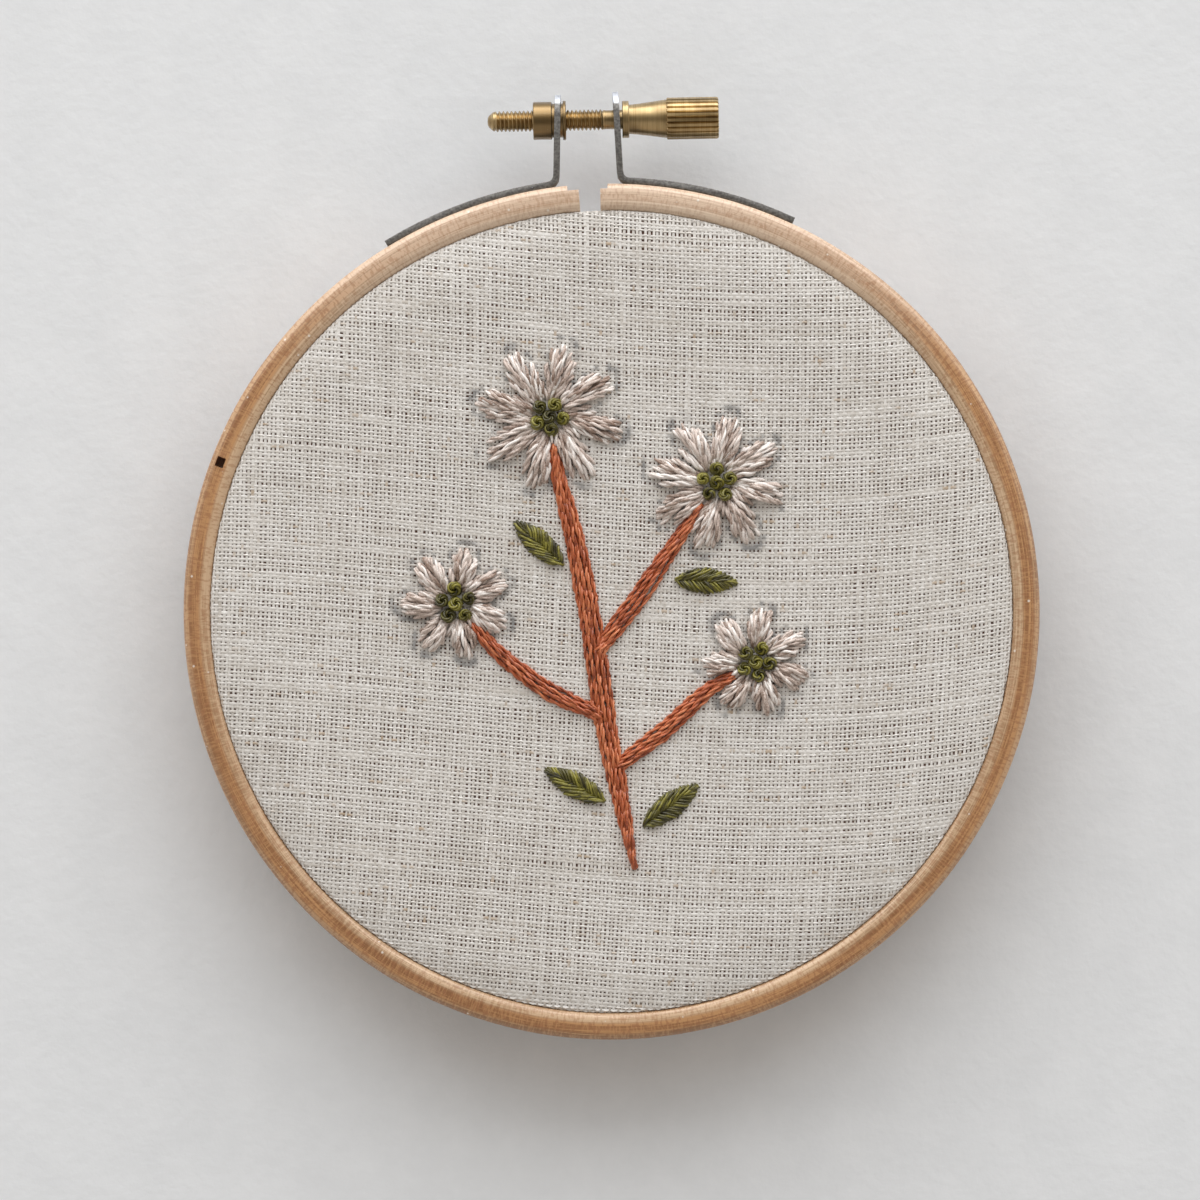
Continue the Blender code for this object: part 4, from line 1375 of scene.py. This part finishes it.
for name, (x, y, reach, petals, stem_side) in FLOWERS.items():
    places = [(x * MM, y * MM)]
    for index in range(KNOTS_ROUND):
        angle = math.radians(stem_side) + index * 2 * math.pi / KNOTS_ROUND
        out = KNOT_RING * rng.uniform(0.93, 1.08)
        places.append((x * MM + out * math.cos(angle), y * MM + out * math.sin(angle)))
    lines, sides, turns = knot_lines(rng, places)
    node = name + "_knots"
    mesh = strand_tubes(node, lines, sides, turns, rng, strands=3, spread=0.20 * MM, strand_r=0.155 * MM)
    finish_piece(node + "_coiled", mesh, olive_floss, "hoop", [node], smooth=THREAD_ANGLE)

# %% [markdown]
# The stems are rows of split stitch: each stitch comes up through the end of the one before it. The
# rows run side by side, with the middle ones a little higher, and their stitches are out of step.

# %% Stems
STEMS = (
    (
        (3.0, -33.0, 0.4),
        (1.2, -24.0, 1.1),
        (-0.8, -14.0, 1.4),
        (-2.4, -3.0, 1.4),
        (-4.4, 8.0, 1.3),
        (-6.6, 16.4, 1.0),
        (-7.4, 21.4, 0.6),
    ),
    ((-2.1, -5.5, 0.9), (3.2, 1.5, 1.2), (8.9, 9.9, 0.9), (11.6, 13.8, 0.6)),
    ((-0.9, -13.5, 0.9), (-8.5, -10.0, 1.2), (-15.7, -4.2, 0.9), (-18.0, -1.4, 0.6)),
    ((0.6, -20.0, 0.9), (6.5, -15.5, 1.1), (12.7, -9.8, 0.9), (15.8, -8.1, 0.6)),
)
ROW_SPACING = 0.54 * MM
SPLIT_LENGTH = 2.9 * MM
SPLIT_OVERLAP = 0.28
SHORTEST_SPLIT = 0.9 * MM
ROW_INSET = 0.24 * MM


def smooth_path(rows, count=160):
    """A smooth curve through the rows' points and widths, evenly spaced along its length."""
    table = np.array(rows)
    padded_rows = np.vstack([2 * table[0] - table[1], table, 2 * table[-1] - table[-2]])
    places = []
    for i in range(len(table) - 1):
        before, first, second, after = padded_rows[i : i + 4]
        t = np.linspace(0.0, 1.0, 30, endpoint=False)[:, None]
        places.append(
            0.5
            * (
                2 * first
                + (second - before) * t
                + (2 * before - 5 * first + 4 * second - after) * t**2
                + (3 * first - before - 3 * second + after) * t**3
            )
        )
    curve = np.vstack(places + [table[-1:]]) * MM
    way = np.pad(np.hypot(*np.diff(curve[:, :2], axis=0).T).cumsum(), (1, 0))
    even = np.linspace(0.0, way[-1], count)
    return even, np.stack([np.interp(even, way, curve[:, k]) for k in range(3)], axis=1)


def split_stitches(rng, rows):
    """The stitches of one stem: rows side by side, and a second layer of fewer rows on top."""
    way, path = smooth_path(rows)
    heading = np.gradient(path[:, :2], axis=0)
    heading /= np.linalg.norm(heading, axis=1, keepdims=True)
    side = np.stack([-heading[:, 1], heading[:, 0]], axis=1)
    widest = path[:, 2].max()
    count = max(3, round(2 * widest / ROW_SPACING))
    made = []
    for layer, rows_here in ((0, count), (1, count - 2)):
        for row in range(rows_here):
            lane = (row - (rows_here - 1) / 2) / max((count - 1) / 2, 1)
            at = rng.uniform(-0.5, 0.0) * SPLIT_LENGTH
            while at < way[-1] - 0.5 * MM:
                length = SPLIT_LENGTH * rng.uniform(0.75, 1.2)
                ends = np.clip([at - SPLIT_OVERLAP * length, at + length], 0.0, way[-1])
                if ends[1] - ends[0] > SHORTEST_SPLIT:
                    spots = []
                    for end in ends:
                        x, y, half = (np.interp(end, way, path[:, k]) for k in range(3))
                        across = [np.interp(end, way, side[:, k]) for k in range(2)]
                        shift = lane * (half - ROW_INSET) + rng.normal(0.0, 0.05) * MM
                        spots += [x + across[0] * shift, y + across[1] * shift]
                    lift = (0.26 + 0.16 * (1 - abs(lane)) + 0.26 * layer) * MM * rng.uniform(0.9, 1.15)
                    turns = (ends[1] - ends[0]) / MM * THREAD_TURNS
                    made.append((*spots, lift, rng.normal(0.0, 0.05) * MM, turns))
                at += length
    return made


stitches = [stitch for rows in STEMS for stitch in split_stitches(rng, rows)]
lines, sides, turns = stitch_lines(stitches, 15)
mesh = strand_tubes("stems", lines, sides, turns, rng, strands=2, spread=0.15 * MM, strand_r=0.175 * MM)
finish_piece("stems_stitched", mesh, rust_floss, "hoop", ["stems"], smooth=THREAD_ANGLE)

# %% [markdown]
# The leaves are fishbone stitch: slanting stitches from each edge that cross the middle by turns, so
# that a raised rib forms along the leaf.

# %% Leaves
LEAVES = {
    "leaf_low_left": (-0.9, -24.3, -8.6, -20.2),
    "leaf_low_right": (4.1, -27.5, 11.2, -22.2),
    "leaf_mid_right": (8.2, 4.1, 16.2, 3.7),
    "leaf_mid_left": (-6.2, 6.0, -12.5, 11.6),
}
LEAF_WIDTHS = ((0.0, 0.3), (0.25, 1.4), (0.55, 1.8), (0.82, 1.1), (1.0, 0.2))
LEAF_STEP = 0.52 * MM
LEAF_START = 0.04
LEAF_COVER = 0.90
LEAF_AHEAD = 0.10
LEAF_BEHIND = 0.17
LEAF_CROSSING = 0.12 * MM


def leaf_stitches(rng, base_x, base_y, tip_x, tip_y):
    """A leaf's stitches: one at the tip, then one from each edge by turns, from the base up."""
    base = np.array((base_x, base_y)) * MM
    tip = np.array((tip_x, tip_y)) * MM
    length = np.hypot(*(tip - base))
    heading = (tip - base) / length
    side = np.array((-heading[1], heading[0]))
    shares = [share for share, _ in LEAF_WIDTHS]
    widths = [width * MM for _, width in LEAF_WIDTHS]
    made = []

    def stitch(share_from, across_from, share_to, across_to, lift):
        start = base + heading * length * share_from + side * across_from
        stop = base + heading * length * share_to + side * across_to
        turns = np.hypot(*(stop - start)) / MM * THREAD_TURNS
        made.append((*start, *stop, lift * rng.uniform(0.9, 1.1), rng.normal(0, 0.04) * MM, turns))

    stitch(0.80, 0.0, 0.99, 0.0, 0.30 * MM)
    steps = int(length / LEAF_STEP)
    for step in range(steps):
        at = LEAF_START + LEAF_COVER * step / steps
        for way in (-1, 1):
            edge = way * np.interp(at + LEAF_AHEAD, shares, widths) * 0.94
            root = max(at - LEAF_BEHIND, 0.0)
            lift = (0.34 + 0.10 * (way > 0)) * MM
            stitch(min(at + LEAF_AHEAD, 0.98), edge, root, -way * LEAF_CROSSING, lift)
    return made


for name, ends in LEAVES.items():
    lines, sides, turns = stitch_lines(leaf_stitches(rng, *ends), 11)
    mesh = strand_tubes(name, lines, sides, turns, rng, strands=2, spread=0.135 * MM, strand_r=0.155 * MM)
    finish_piece(name + "_stitched", mesh, olive_floss, "hoop", [name], smooth=THREAD_ANGLE)
